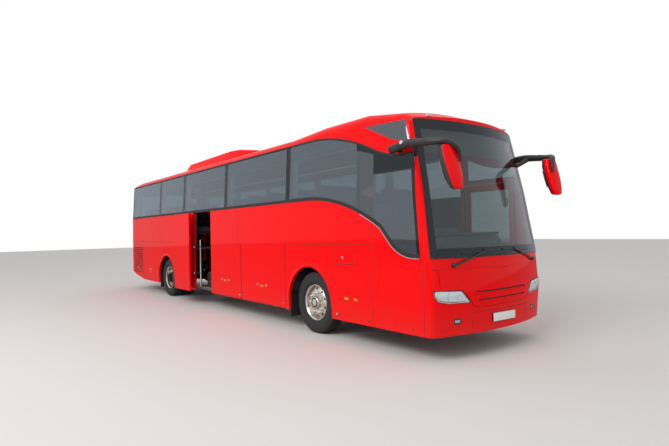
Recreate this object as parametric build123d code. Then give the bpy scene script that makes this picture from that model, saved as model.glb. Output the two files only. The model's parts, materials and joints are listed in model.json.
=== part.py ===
from build123d import *
import math
import os

# High-deck coach with two axles, a centre door on the right and an entrance at the front left.
# It is drawn with the front axle at drawing_axle_x, and save() moves it to the middle of its length.
# Millimetres. X runs forward, Y to the left, Z up from the ground, the origin under the middle.
# Lengthwise places are given ahead of the front axle, and ahead() turns them into X.

# Driving dimensions
wheelbase = 6910
rear_overhang = 3250
mirror_reach = 3055
body_width = 2550
skirt_height = 330
waist_height = 1500
sill_height = 2230
gutter_height = 3250
crown_height = 3470
brow_rise = 60
wall = 45
pane = 9
seam = 0.6
hinge_radius = 4.6
hinge_proud = 5
bond = 0.3

# Glazing
scuttle_height = 1330
window_top = 3250
cab_window_front = 2455
pane_joints = (-9990, -7380, -5580, -3170, -670, 1270)
pane_gap = 5
frame_rim = 45

# Wheels and steering
tyre_radius = 515
tyre_width = 290
rim_radius = 286
rim_width = 230
front_wheel_offset = 1060
rear_outer_offset = 1070
twin_spacing = 340
kingpin_offset = 870
kingpin_radius = 22
arch_radius = 620
arch_lip = 55
lip_proud = 8
front_arch_shift = -50

# Doors
door_width = 980
door_leaf = 42
door_gap = 8
door_top = 2225
centre_door_rear = -4940
front_door_rear = 1290
column_inset = 140
column_depth = 105
swing_radius = 428
swing_angle = 153
arm_heights = (760, 1390)
arm_size = 36
door_window_foot = 1440

# Luggage hold and decks
deck_height = 1380
deck_plate = 50
cab_floor_height = 950
deck_front = 1000
flap_drop = 340
flap_gap = 12
right_flaps = ((-3960, -2480), (-2480, -780))
left_flaps = ((-6200, -4200), (-4200, -2480), (-2480, -780))
hold_plate = 30

half_width = body_width / 2
overall_length = rear_overhang + wheelbase + mirror_reach
drawing_axle_x = 3575
middle_shift = overall_length / 2 - mirror_reach - drawing_axle_x
rear_axle = -wheelbase
tail = rear_axle - rear_overhang
inner_half = half_width - wall
standing = (Align.CENTER, Align.CENTER, Align.MIN)


def ahead(distance):
    """X of a place given ahead of the front axle."""
    return drawing_axle_x + distance


def block(x0, x1, y0, y1, z0, z1):
    """Box between two corners, lengthwise places ahead of the front axle."""
    size = Box(x1 - x0, y1 - y0, z1 - z0)
    return Pos(ahead((x0 + x1) / 2), (y0 + y1) / 2, (z0 + z1) / 2) * size


def rod(start, end, radius):
    """Round bar between two points."""
    first = Vector(*start)
    last = Vector(*end)
    run = last - first
    return Plane(origin=first, z_dir=run) * Cylinder(radius, run.length, align=standing)


def bar(start, end, height, size):
    """Square bar between two points in plan, centred on height."""
    run_x = end[0] - start[0]
    run_y = end[1] - start[1]
    place = Pos((start[0] + end[0]) / 2, (start[1] + end[1]) / 2, height)
    return place * Rot(0, 0, math.degrees(math.atan2(run_y, run_x))) * Box(math.hypot(run_x, run_y), size, size)


def tube(points, radius, bend):
    """Bent round tube through points, with each corner rounded by bend."""
    path = FilletPolyline(*points, radius=bend)
    start = Plane(origin=path @ 0, z_dir=path % 0)
    return sweep(start * Circle(radius), path=path)


def outline(start, *steps):
    """Closed face in side view: each step is an end point, or a point on the arc and its end."""
    edges = []
    here = start
    for step in steps + (start,):
        if isinstance(step[0], tuple):
            via, end = step
            edges.append(ThreePointArc(*[(ahead(p[0]), 0, p[1]) for p in (here, via, end)]).edge())
        else:
            end = step
            if end != here:
                edges.append(Line((ahead(here[0]), 0, here[1]), (ahead(end[0]), 0, end[1])).edge())
        here = end
    return make_face(Wire(edges))


def sideways(face, y0, y1):
    """Solid between two values of Y with the side-view outline."""
    return Pos(0, y0, 0) * Solid.extrude(face.face(), Vector(0, y1 - y0, 0))


def front_view(points, x0, x1):
    """Solid between two lengthwise places with an outline given as (Y, Z)."""
    edges = Polyline([(ahead(x0), y, z) for y, z in points], close=True)
    return Solid.extrude(make_face(edges).face(), Vector(x1 - x0, 0, 0))


def mirrored(part):
    return mirror(part, about=Plane.XZ)


def largest(part):
    """The biggest solid of a cut piece."""
    return max(part.solids(), key=lambda solid: solid.volume)


# Body envelope
# height, nose ahead of the axle, tail set in, half width, bow radius of the front
plan_sections = (
    (250, 2795, 10, 1275, 4050),
    (800, 2845, 0, 1275, 4050),
    (scuttle_height, 2805, 0, 1275, 4050),
    (2250, 2648, 20, 1275, 3900),
    (gutter_height, 2440, 90, 1222, 3500),
    (3800, 2300, 140, 1193, 3300),
)


def plan_value(height, column):
    """A column of the plan table at any height between its rows."""
    for low, high in zip(plan_sections, plan_sections[1:]):
        if low[0] <= height <= high[0]:
            share = (height - low[0]) / (high[0] - low[0])
            return low[column] + share * (high[column] - low[column])


def front_face(y, height):
    """How far the front surface lies ahead of the front axle."""
    bow = plan_value(height, 4)
    return plan_value(height, 1) - bow + math.sqrt(bow**2 - y**2)


front_corner = 110
rear_corner = 150

# ahead of the axle, crown above or below the roof's height
roof_sections = (
    (-10300, -50),
    (-9500, 0),
    (-700, 0),
    (300, brow_rise),
    (1300, brow_rise),
    (2000, -40),
    (2550, -240),
    (2950, -430),
)
camber_radius = 6000
shoulder_radius = 230
tube_ease = 0.6
side_lean = (half_width - 1222) / (gutter_height - 2250)


def plan_section(height, nose, tail_in, half, bow, inset):
    """Horizontal section of the body, drawn in by inset."""
    tip = ahead(nose) - inset
    end = ahead(tail) + tail_in + inset
    side = half - inset
    radius = bow - inset
    start = tip - radius + math.sqrt(radius**2 - side**2)
    edges = [
        Line((end, -side), (start, -side)).edge(),
        ThreePointArc((start, -side), (tip, 0), (start, side)).edge(),
        Line((start, side), (end, side)).edge(),
        Line((end, side), (end, -side)).edge(),
    ]
    face = make_face(Wire(edges))
    face = fillet([v for v in face.vertices() if v.X > 0], front_corner - inset)
    face = fillet([v for v in face.vertices() if v.X < end + 1], rear_corner - inset)
    return Pos(0, 0, height) * face


def roof_section(place, rise, inset):
    """Upright section across the body, a hair wider than the plan, with a cambered roof."""
    side = half_width + tube_ease - inset
    crown = crown_height + rise - inset
    top_side = side - side_lean * (crown - 120 - 2250)
    top = crown - camber_radius + math.sqrt(camber_radius**2 - top_side**2)
    x = ahead(place)
    edges = [
        Line((x, -side, 200 - inset), (x, -side, 2250)).edge(),
        Line((x, -side, 2250), (x, -top_side, top)).edge(),
        ThreePointArc((x, -top_side, top), (x, 0, crown), (x, top_side, top)).edge(),
        Line((x, top_side, top), (x, side, 2250)).edge(),
        Line((x, side, 2250), (x, side, 200 - inset)).edge(),
        Line((x, side, 200 - inset), (x, -side, 200 - inset)).edge(),
    ]
    face = make_face(Wire(edges))
    return fillet([v for v in face.vertices() if v.Z > 2700], shoulder_radius - inset)


def envelope(inset):
    """Solid body form, drawn in by inset."""
    plan = loft([plan_section(*row, inset) for row in plan_sections], ruled=True)
    tube = loft([roof_section(*row, inset) for row in roof_sections], ruled=True)
    return plan & tube


outer = envelope(0)
inner = envelope(wall)
pane_back = envelope(pane)
rebate_back = envelope(pane + bond)


def layer(area, back):
    """Part of the body form inside area, down to the form called back."""
    return (outer & area) - back


# Side window band
right_band = outline(
    (pane_joints[0], sill_height),
    (-100, sill_height),
    ((1000, 2065), (1710, 1745)),
    (1880, 1550),
    ((2060, 1405), (2300, 1338)),
    (cab_window_front, scuttle_height + 5),
    (2340, 2750),
    ((1950, 2765), (1630, 2860)),
    ((750, 3165), (-100, window_top)),
    (pane_joints[0], window_top),
)
over_door = 2500
left_band = outline(
    (pane_joints[0], sill_height),
    (pane_joints[5] - 20, sill_height),
    (pane_joints[5] - 20, over_door),
    (2350, over_door),
    (2340, 2750),
    ((1950, 2765), (1630, 2860)),
    ((750, 3165), (-100, window_top)),
    (pane_joints[0], window_top),
)
quarter_window = outline((1360, 3235), (2180, 3200), (2270, 2915), ((2080, 2925), (1890, 2985)))
cab_glass_rear = 1590


def side_glazing(band, side, joints, last_hole):
    """Panes, the rebate they sit in and the holes behind them, for one side."""
    span = sorted((side * 1000, side * 1400))
    panes = []
    holes = []
    edges = list(joints) + [2500]
    for start, end in zip(edges, edges[1:]):
        piece = block(start + pane_gap / 2, end - pane_gap / 2, *span, 1200, 3400)
        panes.append(layer(sideways(offset(band, -1), *span) & piece, pane_back))
        hole_start = last_hole if end == 2500 else start + frame_rim
        hole = block(hole_start, end - frame_rim, *span, 1200, 3400)
        holes.append(sideways(offset(band, -frame_rim), *span) & hole)
    panes.append(layer(sideways(offset(quarter_window, -1), *span), pane_back))
    holes.append(sideways(offset(quarter_window, -frame_rim), *span))
    seats = [sideways(band, *span) - rebate_back, sideways(quarter_window, *span) - rebate_back]
    return panes, seats, holes


def hollow(wall_part, cuts):
    for cut in cuts:
        wall_part = wall_part - cut
    return wall_part


# Windscreen
screen_corners = ((-1252, scuttle_height), (1252, scuttle_height), (1150, 3215), (-1150, 3215))
screen_hole = ((-1185, 1400), (1185, 1400), (1090, 3130), (-1090, 3130))
screen_area = front_view(screen_corners, 2150, 2900)
screen_glass = [(y * 0.998, z + (1 if z < 2000 else -1)) for y, z in screen_corners]
screen_glass_area = front_view(screen_glass, 2150, 2900)
windscreen = layer(screen_glass_area, pane_back)
screen_cuts = [screen_area - rebate_back, front_view(screen_hole, 2150, 2900)]

# Rear window
rear_window_area = block(tail - 60, tail + 260, -1010, 1010, 2260, 3120)
rear_glass = layer(block(tail - 60, tail + 260, -1009, 1009, 2261, 3119), pane_back)
rear_cuts = [rear_window_area - rebate_back, block(tail - 60, tail + 260, -950, 950, 2320, 3060)]

# Panels
side_zone = 2755
rear_split = tail + 155
nose_split = 2500


def upper_wall(side):
    """Window wall above the waist, down to the scuttle ahead of the cab seam."""
    cab_seam = 1540
    lower_edge = waist_height + seam / 2
    front_foot = scuttle_height + seam / 2
    area = outline(
        (rear_split + seam / 2, lower_edge),
        (cab_seam, lower_edge),
        (cab_seam, front_foot if side < 0 else lower_edge),
        (side_zone, front_foot if side < 0 else lower_edge),
        (side_zone, gutter_height),
        (rear_split + seam / 2, gutter_height),
    )
    span = sorted((side * 900, side * 1400))
    return layer(sideways(area, *span), inner)


right_panes, right_seats, right_holes = side_glazing(right_band, -1, pane_joints, cab_glass_rear)
left_panes, left_seats, left_holes = side_glazing(left_band, 1, pane_joints, cab_glass_rear - 220)

door_front_edge = front_door_rear + door_width
front_doorway = block(front_door_rear, door_front_edge, 900, 1400, skirt_height - 100, 2480)
centre_front = centre_door_rear + door_width
centre_doorway = block(centre_door_rear, centre_front, -1400, -1000, skirt_height - 100, door_top + 5)

bay_joints = [block(x - seam / 2, x + seam / 2, -1400, 1400, 1000, 3400) for x in (-5580, -3170, 1270)]
right_cuts = screen_cuts + right_seats + right_holes + bay_joints
left_cuts = screen_cuts + left_seats + left_holes + bay_joints
window_wall_right = hollow(upper_wall(-1), right_cuts + [centre_doorway])
window_wall_left = hollow(upper_wall(1), left_cuts + [front_doorway])
roof_area = block(tail - 100, 2900, -1400, 1400, gutter_height + seam / 2, 3900)
roof = hollow(layer(roof_area, inner), screen_cuts)


def arch_cut(place, side):
    """Round wheel opening with straight jambs, through one side."""
    centre = Pos(ahead(place), side * 1150, 500)
    disc = centre * Rot(90, 0, 0) * Cylinder(arch_radius, 400)
    return disc + block(place - arch_radius, place + arch_radius, *sorted((side * 950, side * 1350)), 100, 500)


def arch_lip_ring(place, side):
    """Sloping lip round a wheel opening, a little proud of the skirt."""
    lip = Cone(arch_radius + arch_lip, arch_radius + 20, lip_proud, align=standing)
    ring = lip - Cylinder(arch_radius, 100)
    centre = Pos(ahead(place), side * half_width, 500) * Rot(-side * 90, 0, 0)
    upper = block(place - 800, place + 800, *sorted((side * 1000, side * 1350)), 500, 1400)
    return (centre * ring) & upper


def flap_area(start, end, side, gap):
    span = sorted((side * 1000, side * 1400))
    return block(start + gap, end - gap, *span, flap_drop - 200 * (gap == 0), waist_height - gap * 0.7)


def skirt(side):
    """Lower side wall between the corner panels, less doors, flaps and arches."""
    span = sorted((side * 1100, side * 1400))
    flaps = right_flaps if side < 0 else left_flaps
    doorway = centre_doorway if side < 0 else front_doorway
    rear_foot = outline(
        (rear_split + seam / 2, 545),
        (-9670, 450),
        (-8850, 340),
        (rear_axle, skirt_height),
        (nose_split - seam / 2, skirt_height),
        (nose_split - seam / 2, waist_height - seam / 2 if side > 0 else scuttle_height - seam / 2),
        (1540 - seam / 2, scuttle_height - seam / 2 if side < 0 else waist_height - seam / 2),
        (1540 - seam / 2, waist_height - seam / 2),
        (rear_split + seam / 2, waist_height - seam / 2),
    )
    panel = layer(sideways(rear_foot, *span), inner)
    panel = panel - doorway - arch_cut(front_arch_shift, side) - arch_cut(rear_axle, side)
    for start, end in flaps:
        panel = panel - flap_area(start, end, side, 0)
    for place in (front_arch_shift, rear_axle):
        panel = panel + arch_lip_ring(place, side)
    return panel


def louvres(panel):
    """Slanted cooling slots behind the rear wheel."""
    pitch = 62
    for row in range(13):
        height = 560 + row * pitch
        slot = Pos(ahead(-9420), -1270, height) * Rot(-30, 0, 0) * Box(840, 30, 26)
        panel = panel - slot
    return panel


skirt_right = louvres(skirt(-1))
skirt_left = mirrored(louvres(mirrored(skirt(1))))

# Front mask, flap and bumper
mask_foot = 925
flap_top = 1190
flap_side = 1160
flap_low = 932
lamp_shape = ((1238, 925), (830, 905), (690, 745), (1050, 752), (1200, 790), (1240, 850))
# out from the middle and height, from the upper corner to the middle of the foot
flap_half = (
    (flap_side, flap_top),
    (flap_side, flap_low),
    (824, 915),
    (690, 765),
    (652, 714),
    (600, 682),
    (520, 667),
)
flap_points = flap_half + tuple((-y, z) for y, z in reversed(flap_half))
# half width, foot and top of the sunk bands, and of the slots in them
grille_bands = ((580, 845, 884), (545, 742, 778))
grille_slots = ((565, 849, 869), (530, 746, 766))
# half width, foot and top of the lower middle panel
lower_panel = (630, 400, 605)
groove = 4

def lamp_area(side, grow):
    centre_y = 1010
    centre_z = 835
    points = []
    for y, z in lamp_shape:
        reach = math.hypot(y - centre_y, z - centre_z)
        scale = 1 + grow / reach
        points.append((side * (centre_y + (y - centre_y) * scale), centre_z + (z - centre_z) * scale))
    return front_view(points, 2400, 2900)


front_mask = layer(block(nose_split, 2900, -1300, 1300, mask_foot, scuttle_height - seam / 2), inner)
front_mask = front_mask - front_view(flap_points, 2400, 2900)
bumper = layer(block(nose_split, 2900, -1300, 1300, skirt_height, mask_foot - seam), inner)
bumper = bumper - front_view(flap_points, 2400, 2900)
for side in (-1, 1):
    bumper = bumper - lamp_area(side, 2) - Pos(0, -side * 6, 14) * lamp_area(side, 2)
bumper = largest(bumper)
half, foot, top = lower_panel
for side in (-1, 1):
    upright = block(2400, 2900, side * half - groove / 2, side * half + groove / 2, foot, top)
    bumper = bumper - layer(upright, pane_back)
bumper = bumper - layer(block(2400, 2900, -half, half, top, top + groove), pane_back)


def inset_points(points, centre, step):
    """Outline drawn towards its centre by about one step."""
    moved = []
    for y, z in points:
        reach = math.hypot(y - centre[0], z - centre[1])
        moved.append((y + (centre[0] - y) * step / reach, z + (centre[1] - z) * step / reach))
    return moved


flap_skin = 15
lamp_depth = 30
flap_back = envelope(flap_skin)
lamp_back = envelope(lamp_depth)
front_flap = layer(front_view(inset_points(flap_points, (0, 1000), 9), 2400, 2900), flap_back)
for half, foot, top in grille_bands:
    front_flap = front_flap - layer(block(2400, 2900, -half, half, foot, top), pane_back)
for half, foot, top in grille_slots:
    front_flap = front_flap - block(2400, 2900, -half, half, foot, top)
hinge_half = 90
flap_hinge_x = front_face(0, flap_top) + hinge_proud
pin_x = ahead(flap_hinge_x)
pin_z = flap_top + 1
front_flap = front_flap + rod((pin_x, -hinge_half, pin_z), (pin_x, hinge_half, pin_z), hinge_radius)
# rear and front of each hinge plate against the pin, and how far its top lies below the seam
for rear, front, below in ((-3, 2, 0), (-15, -2, 10)):
    span = (flap_hinge_x + rear, flap_hinge_x + front, -hinge_half, hinge_half)
    front_flap = front_flap + block(*span, flap_top - 25, flap_top - below)
headlamps = [layer(lamp_area(side, -1), lamp_back) for side in (-1, 1)]
fog_lamps = []
for side in (-1, 1):
    fog_y = sorted((side * 835, side * 945))
    bumper = bumper - block(2400, 2900, *fog_y, 482, 548)
    lamp = block(2400, 2900, fog_y[0] + bond, fog_y[1] - bond, 482 + bond, 548 - bond)
    fog_lamps.append(layer(lamp, lamp_back))

# Rear wall
lid_half = 900
lid_foot = 640
lid_top = 1620
rear_wall = layer(block(tail - 50, rear_split, -1300, 1300, 530, gutter_height), inner)
lid_opening = block(tail - 60, tail + 200, -lid_half, lid_half, lid_foot, lid_top)
rear_wall = hollow(rear_wall, rear_cuts + [lid_opening])
lid_edge = lid_half - flap_gap
lid_area = block(tail - 60, tail + 140, -lid_edge, lid_edge, lid_foot + flap_gap, lid_top - flap_gap)
engine_lid = layer(lid_area, inner)
for row in range(9):
    engine_lid = engine_lid - Pos(ahead(tail), 0, 760 + row * 62) * Rot(0, 30, 0) * Box(40, 1300, 26)
lid_hinge_x = tail + plan_value(lid_top, 2) - hinge_proud
pin_x = ahead(lid_hinge_x)
engine_lid = engine_lid + rod((pin_x, -lid_edge, lid_top + 1), (pin_x, lid_edge, lid_top + 1), hinge_radius)
for rear, front, below in ((-2, 4, 0), (2, 15, flap_gap)):
    span = (lid_hinge_x + rear, lid_hinge_x + front, -lid_edge, lid_edge)
    engine_lid = engine_lid + block(*span, lid_top - 25, lid_top - below)
tail_lamps = []
for side in (-1, 1):
    for height, tall in ((1000, 150), (1180, 150), (1360, 150)):
        area = block(tail - 60, tail + 260, *sorted((side * 1000, side * 1130)), height, height + tall)
        rear_wall = rear_wall - area
        tail_lamps.append(layer(area, lamp_back))

# Roof unit
# ahead of the axle, height of its top, half width
cooler_sections = (
    (-6830, 3520, 700),
    (-6700, 3600, 760),
    (-6400, 3660, 800),
    (-3970, 3695, 800),
    (-3570, 3675, 780),
    (-2960, 3585, 720),
    (-2700, 3535, 680),
)
cooler_faces = []
for place, top, half in cooler_sections:
    x = ahead(place)
    foot = crown_height - 150
    corners = ((-half, foot), (half, foot), (half - 60, top - 20), (60 - half, top - 20))
    edges = Polyline([(x, y, z) for y, z in corners], close=True)
    face = make_face(edges)
    cooler_faces.append(fillet([v for v in face.vertices() if v.Z > foot + 10], 45))
air_conditioner = loft(cooler_faces, ruled=True) - (outer & block(-7000, -2000, -1300, 1300, 3000, 3600))
air_conditioner = largest(air_conditioner)


# Doors and the steps behind them
tread_heights = (430, 740, 1050)
leaf_back = envelope(door_leaf)


def door(rear_edge, side, top, opened):
    """Leaf, glass and swing arms. Built closed, then set open where opened is true."""
    front_edge = rear_edge + door_width
    span = sorted((side * 1150, side * 1400))
    foot = skirt_height + door_gap
    window = block(rear_edge + 110, front_edge - 110, *span, door_window_foot + 25, top - 130)
    glass_area = block(rear_edge + 85, front_edge - 85, *span, door_window_foot, top - 105)
    leaf_area = block(rear_edge + door_gap, front_edge - door_gap, *span, foot, top - door_gap)
    leaf = layer(leaf_area, leaf_back)
    glass = layer(offset_block(glass_area, 1), pane_back)
    leaf = hollow(leaf, [glass_area - rebate_back, window])
    column = (ahead(rear_edge + column_inset), side * (half_width - column_depth))
    closed_pivot = (column[0] + swing_radius, column[1])
    turn = math.radians(180 - swing_angle)
    open_pivot = (column[0] - swing_radius * math.cos(turn), column[1] + side * swing_radius * math.sin(turn))
    arms = rod((*column, tread_heights[0] + bond), (*column, 1560), 22)
    knee = (column[0], side * (half_width + 55))
    for height in arm_heights:
        first = bar(column, knee, height, arm_size)
        second = bar(knee, open_pivot, height, arm_size)
        elbow = Pos(*knee, height) * Cylinder(arm_size / 2, arm_size)
        eye = Pos(*open_pivot, height) * Cylinder(26, arm_size)
        pin_hole = Pos(*open_pivot, height) * Cylinder(12 + bond, arm_size * 2)
        arms = arms + (first + elbow + second + eye - pin_hole)
        for rise in (-1, 1):
            plate_z = height + rise * (arm_size / 2 + 8)
            plate = Pos(closed_pivot[0], closed_pivot[1], plate_z) * Cylinder(26, 12)
            stem_y = sorted((closed_pivot[1], side * (half_width - door_leaf + 4)))
            stem = Pos(closed_pivot[0], sum(stem_y) / 2, plate_z) * Box(52, stem_y[1] - stem_y[0], 12)
            leaf = leaf + plate + stem
        leaf = leaf + Pos(closed_pivot[0], closed_pivot[1], height) * Cylinder(12, arm_size + 20)
    shift = (open_pivot[0] - closed_pivot[0], open_pivot[1] - closed_pivot[1])
    if opened:
        leaf = Pos(*shift, 0) * leaf
        glass = Pos(*shift, 0) * glass
    else:
        arms = Pos(*column, 0) * Rot(0, 0, -side * swing_angle) * Pos(-column[0], -column[1], 0) * arms
    return leaf, glass, arms


def offset_block(area, gap):
    """The same box, smaller by gap on each edge in side view."""
    box = area.bounding_box()
    size = box.size
    centre = box.center()
    return Pos(*centre) * Box(size.X - 2 * gap, size.Y, size.Z - 2 * gap)


centre_door, centre_door_glass, centre_door_arms = door(centre_door_rear, -1, door_top, True)
front_door, front_door_glass, front_door_arms = door(front_door_rear, 1, 2475, False)

# Luggage flaps
hold_flaps = {}
for name, flaps, side in (("right", right_flaps, -1), ("left", left_flaps, 1)):
    for number, (start, end) in enumerate(flaps, 1):
        flap = layer(flap_area(start, end, side, flap_gap / 2), inner)
        hinge_y = side * (half_width + hinge_proud)
        first = (ahead(start + flap_gap / 2), hinge_y, waist_height)
        last = (ahead(end - flap_gap / 2), hinge_y, waist_height)
        leaf_y = sorted((side * (half_width - 2), side * (half_width + 4)))
        leaf = block(start + flap_gap / 2, end - flap_gap / 2, *leaf_y, waist_height - 16, waist_height - 4)
        hold_flaps[f"hold_flap_{name}_{number}"] = flap + leaf + rod(first, last, hinge_radius)

# Decks, steps and the luggage hold
deck_half = inner_half - bond
tread_edges = (deck_half, 930, 660, 390)
well_depth = tread_edges[3]
well_front = centre_door_rear + door_width + 20
well_rear = centre_door_rear - 20
deck = block(tail + wall + 115, deck_front, -deck_half, deck_half, deck_height - deck_plate, deck_height)
deck = deck - block(well_rear, well_front, -1400, -well_depth, 1200, 1500)
cab_floor = block(deck_front, 2480, -deck_half, deck_half, cab_floor_height - deck_plate, cab_floor_height)
riser = (cab_floor_height - deck_plate, deck_height - deck_plate)
cab_floor = cab_floor + block(deck_front - 30, deck_front, -deck_half, deck_half, *riser)
cab_floor = cab_floor - block(front_door_rear - 20, 2500, 660, 1400, 800, 1000)


def flight(rear, front, side, heights, edges):
    """Steps from the doorway up to the deck, closed below."""
    steps = None
    for number, height in enumerate(heights):
        width = sorted((side * edges[number], side * edges[number + 1]))
        tread = block(rear, front, *width, height - 60, height)
        riser_top = heights[number + 1] if number + 1 < len(heights) else None
        steps = tread if steps is None else steps + tread
        if riser_top:
            y = sorted((side * edges[number + 1], side * (edges[number + 1] - 20)))
            steps = steps + block(rear, front, *y, height - 60, riser_top)
    return steps


centre_steps = flight(well_rear, well_front, -1, tread_heights, tread_edges)
last_riser = (-well_depth - 1, -well_depth + 19, 990, deck_height - deck_plate)
centre_steps = centre_steps + block(well_rear, well_front, *last_riser)
front_steps = flight(front_door_rear - 20, 2360, 1, (430, 700), (deck_half, 930, 660))
front_steps = front_steps + block(front_door_rear - 20 + bond, 2360, 660 + bond, 680, 640, cab_floor_height)
steps = centre_steps + front_steps

hold_floor = flap_drop + 25
hold = block(-3935, -800, -deck_half, deck_half, hold_floor, hold_floor + hold_plate)
hold = hold + block(-6180, -3935, -well_depth + 30, deck_half, hold_floor, hold_floor + hold_plate)
hold = hold + block(-3935, -3905, -deck_half, -well_depth + 60, hold_floor, deck_height - deck_plate)
hold = hold + block(-6180, -3935, -well_depth + 30, -well_depth + 60, hold_floor, deck_height - deck_plate)
hold = hold + block(-6210, -6180, -well_depth + 30, deck_half, hold_floor, deck_height - deck_plate)
hold = hold + block(-800, -770, -deck_half, deck_half, hold_floor, deck_height - deck_plate)

# Wheelhouses
house_inner = 500
houses = None
for place, long in ((0, 730), (rear_axle, 690)):
    for side in (-1, 1):
        y = sorted((side * house_inner, side * deck_half))
        inner_y = sorted((side * (house_inner - 20), side * house_inner))
        roof_sheet = block(place - long, place + long, *y, 1230, 1250)
        liner = block(place - long, place + long, *inner_y, 640, 1250)
        house = roof_sheet + liner
        for end in (place - long, place + long - 20):
            if end > -760 and end < 0:
                continue
            house = house + block(end, end + 20, *y, 560 if end < 0 else 440, 1250)
        houses = house if houses is None else houses + house

# Underframe
rail_half = 400
rail_size = 80
underframe = None
for start, end in ((-768, 2600), (-9900, -6212)):
    for side in (-1, 1):
        y = sorted((side * (rail_half - rail_size / 2), side * (rail_half + rail_size / 2)))
        rail = block(start, end, *y, 720, 860)
        underframe = rail if underframe is None else underframe + rail
cross_places = (-700, 900, 1700, 2560, -9860, -8300, -6260)
for place in cross_places:
    underframe = underframe + block(place - 40, place + 40, -rail_half, rail_half, 740, 840)
deck_foot = deck_height - deck_plate - bond
cab_foot = cab_floor_height - deck_plate - bond
for place, top in ((900, deck_foot), (2300, cab_foot), (-9700, deck_foot), (-8000, deck_foot)):
    for side in (-1, 1):
        y = sorted((side * (rail_half - 30), side * (rail_half + 30)))
        underframe = underframe + block(place - 30, place + 30, *y, 850, top)

for side in (-1, 1):
    underframe = underframe + block(-460, -340, *sorted((side * 345, side * 455)), 700, 725)

# Axles
axle_z = tyre_radius
front_axle = block(-60, 60, -kingpin_offset + 90, kingpin_offset - 90, 385, 475)
for side in (-1, 1):
    eye = Pos(ahead(0), side * kingpin_offset, axle_z) * Cylinder(52, 150)
    neck = block(-45, 45, *sorted((side * (kingpin_offset - 150), side * (kingpin_offset - 90))), 385, 575)
    arm = block(-45, 45, *sorted((side * (kingpin_offset - 120), side * (kingpin_offset - 30))), 450, 580)
    front_axle = front_axle + eye + neck + arm
    front_axle = front_axle + block(-230, 230, *sorted((side * 330, side * 470)), 440, 480)
    for place in (-170, 170):
        bellows = (ahead(place), side * rail_half)
        front_axle = front_axle + rod((*bellows, 470), (*bellows, 720 - bond), 80)
for side in (-1, 1):
    front_axle = front_axle - Pos(ahead(0), side * kingpin_offset, axle_z) * Cylinder(kingpin_radius + bond, 400)
axle_end = 915 - bond
rear_housing = Pos(ahead(rear_axle), 0, axle_z) * Rot(90, 0, 0) * Cylinder(75, 2 * axle_end)
rear_housing = rear_housing + Pos(ahead(rear_axle), 0, axle_z) * Sphere(205)
rear_housing = rear_housing + rod((ahead(rear_axle), 0, axle_z), (ahead(rear_axle - 330), 0, axle_z + 40), 70)
for side in (-1, 1):
    for place in (-330, 330):
        foot = (ahead(rear_axle + place), side * rail_half, 480)
        rear_housing = rear_housing + rod(foot, (foot[0], foot[1], 720 - bond), 75)
    beam = sorted((side * 340, side * 460))
    rear_housing = rear_housing + block(rear_axle - 420, rear_axle + 420, *beam, 430, 500)


def wheel_at(place, offset, side, part):
    """Part made about the Y axis with its outer side at +Y, set on one side."""
    if side < 0:
        part = mirrored(part)
    return Pos(ahead(place), side * offset, axle_z) * part


def revolved(points):
    """Solid of revolution about Y from (radius, across) points, with arcs as nested pairs."""
    edges = []
    here = points[0]
    for step in list(points[1:]) + [points[0]]:
        if isinstance(step[0], tuple):
            via, end = step
            edges.append(ThreePointArc(*[(p[0], p[1], 0) for p in (here, via, end)]).edge())
        else:
            end = step
            edges.append(Line((here[0], here[1], 0), (end[0], end[1], 0)).edge())
        here = end
    return revolve(make_face(Wire(edges)), axis=Axis.Y)


tread_half = 118
flange = rim_radius + 16
tyre = revolved((
    (rim_radius, -rim_width / 2 + 12),
    (flange + 2, -rim_width / 2 + 12),
    (360, -tyre_width / 2 + 6),
    (410, -tyre_width / 2),
    (460, -tyre_width / 2 + 5),
    (495, -tread_half - 8),
    (tyre_radius, -tread_half + 14),
    (tyre_radius, tread_half - 14),
    (495, tread_half + 8),
    (460, tyre_width / 2 - 5),
    (410, tyre_width / 2),
    (360, tyre_width / 2 - 6),
    (flange + 2, rim_width / 2 - 12),
    (rim_radius, rim_width / 2 - 12),
))
rim_well = rim_radius - 14
barrel = revolved((
    (rim_radius - bond, -rim_width / 2 + 10),
    (flange, -rim_width / 2 + 10),
    (flange, -rim_width / 2),
    (rim_well, -rim_width / 2),
    (rim_well, rim_width / 2),
    (flange, rim_width / 2),
    (flange, rim_width / 2 - 10),
    (rim_radius - bond, rim_width / 2 - 10),
))
vent_count = 10
vent_circle = 215


def vented(disc, across):
    """Disc with its ring of oval vent holes."""
    for number in range(vent_count):
        angle = 360 / vent_count * number
        slot = extrude(SlotOverall(62, 36, rotation=90), 60, both=True)
        disc = disc - Rot(0, angle, 0) * Pos(vent_circle, across, 0) * Rot(90, 0, 0) * slot
    return disc


front_disc = vented(revolved((
    (110, 92), (165, 92), (230, 84), (rim_well + 3, 58), (rim_well + 3, 44), (226, 68), (165, 78), (110, 78),
)), 80)
front_hub = revolved(((0, 40), (120, 40), (120, 78), (112, 92), (96, 140), (80, 148), (0, 148)))
rear_disc = vented(revolved((
    (100, -165), (178, -165), (190, -160), (rim_well + 3, -96),
    (rim_well + 3, -80), (186, -146), (176, -151), (100, -151),
)), -120)
rear_hub = revolved(((0, -190), (128, -190), (128, -60), (110, -40), (86, 10), (70, 20), (0, 20)))
inner_disc = mirrored(rear_disc)

front_rim = barrel + front_disc + front_hub
rear_rim_outer = barrel + rear_disc + (rear_hub - Pos(0, -175, 0) * Rot(90, 0, 0) * Cylinder(75 + bond, 40))
rear_rim_inner = Pos(0, -twin_spacing, 0) * (barrel + inner_disc)
hub_sleeve = Pos(0, -twin_spacing / 2 - 4, 0) * Rot(90, 0, 0) * (Cylinder(128, 60) - Cylinder(75 + bond, 80))
rear_rims = rear_rim_outer + rear_rim_inner + hub_sleeve
rear_tyres = [tyre, Pos(0, -twin_spacing, 0) * tyre]

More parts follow.
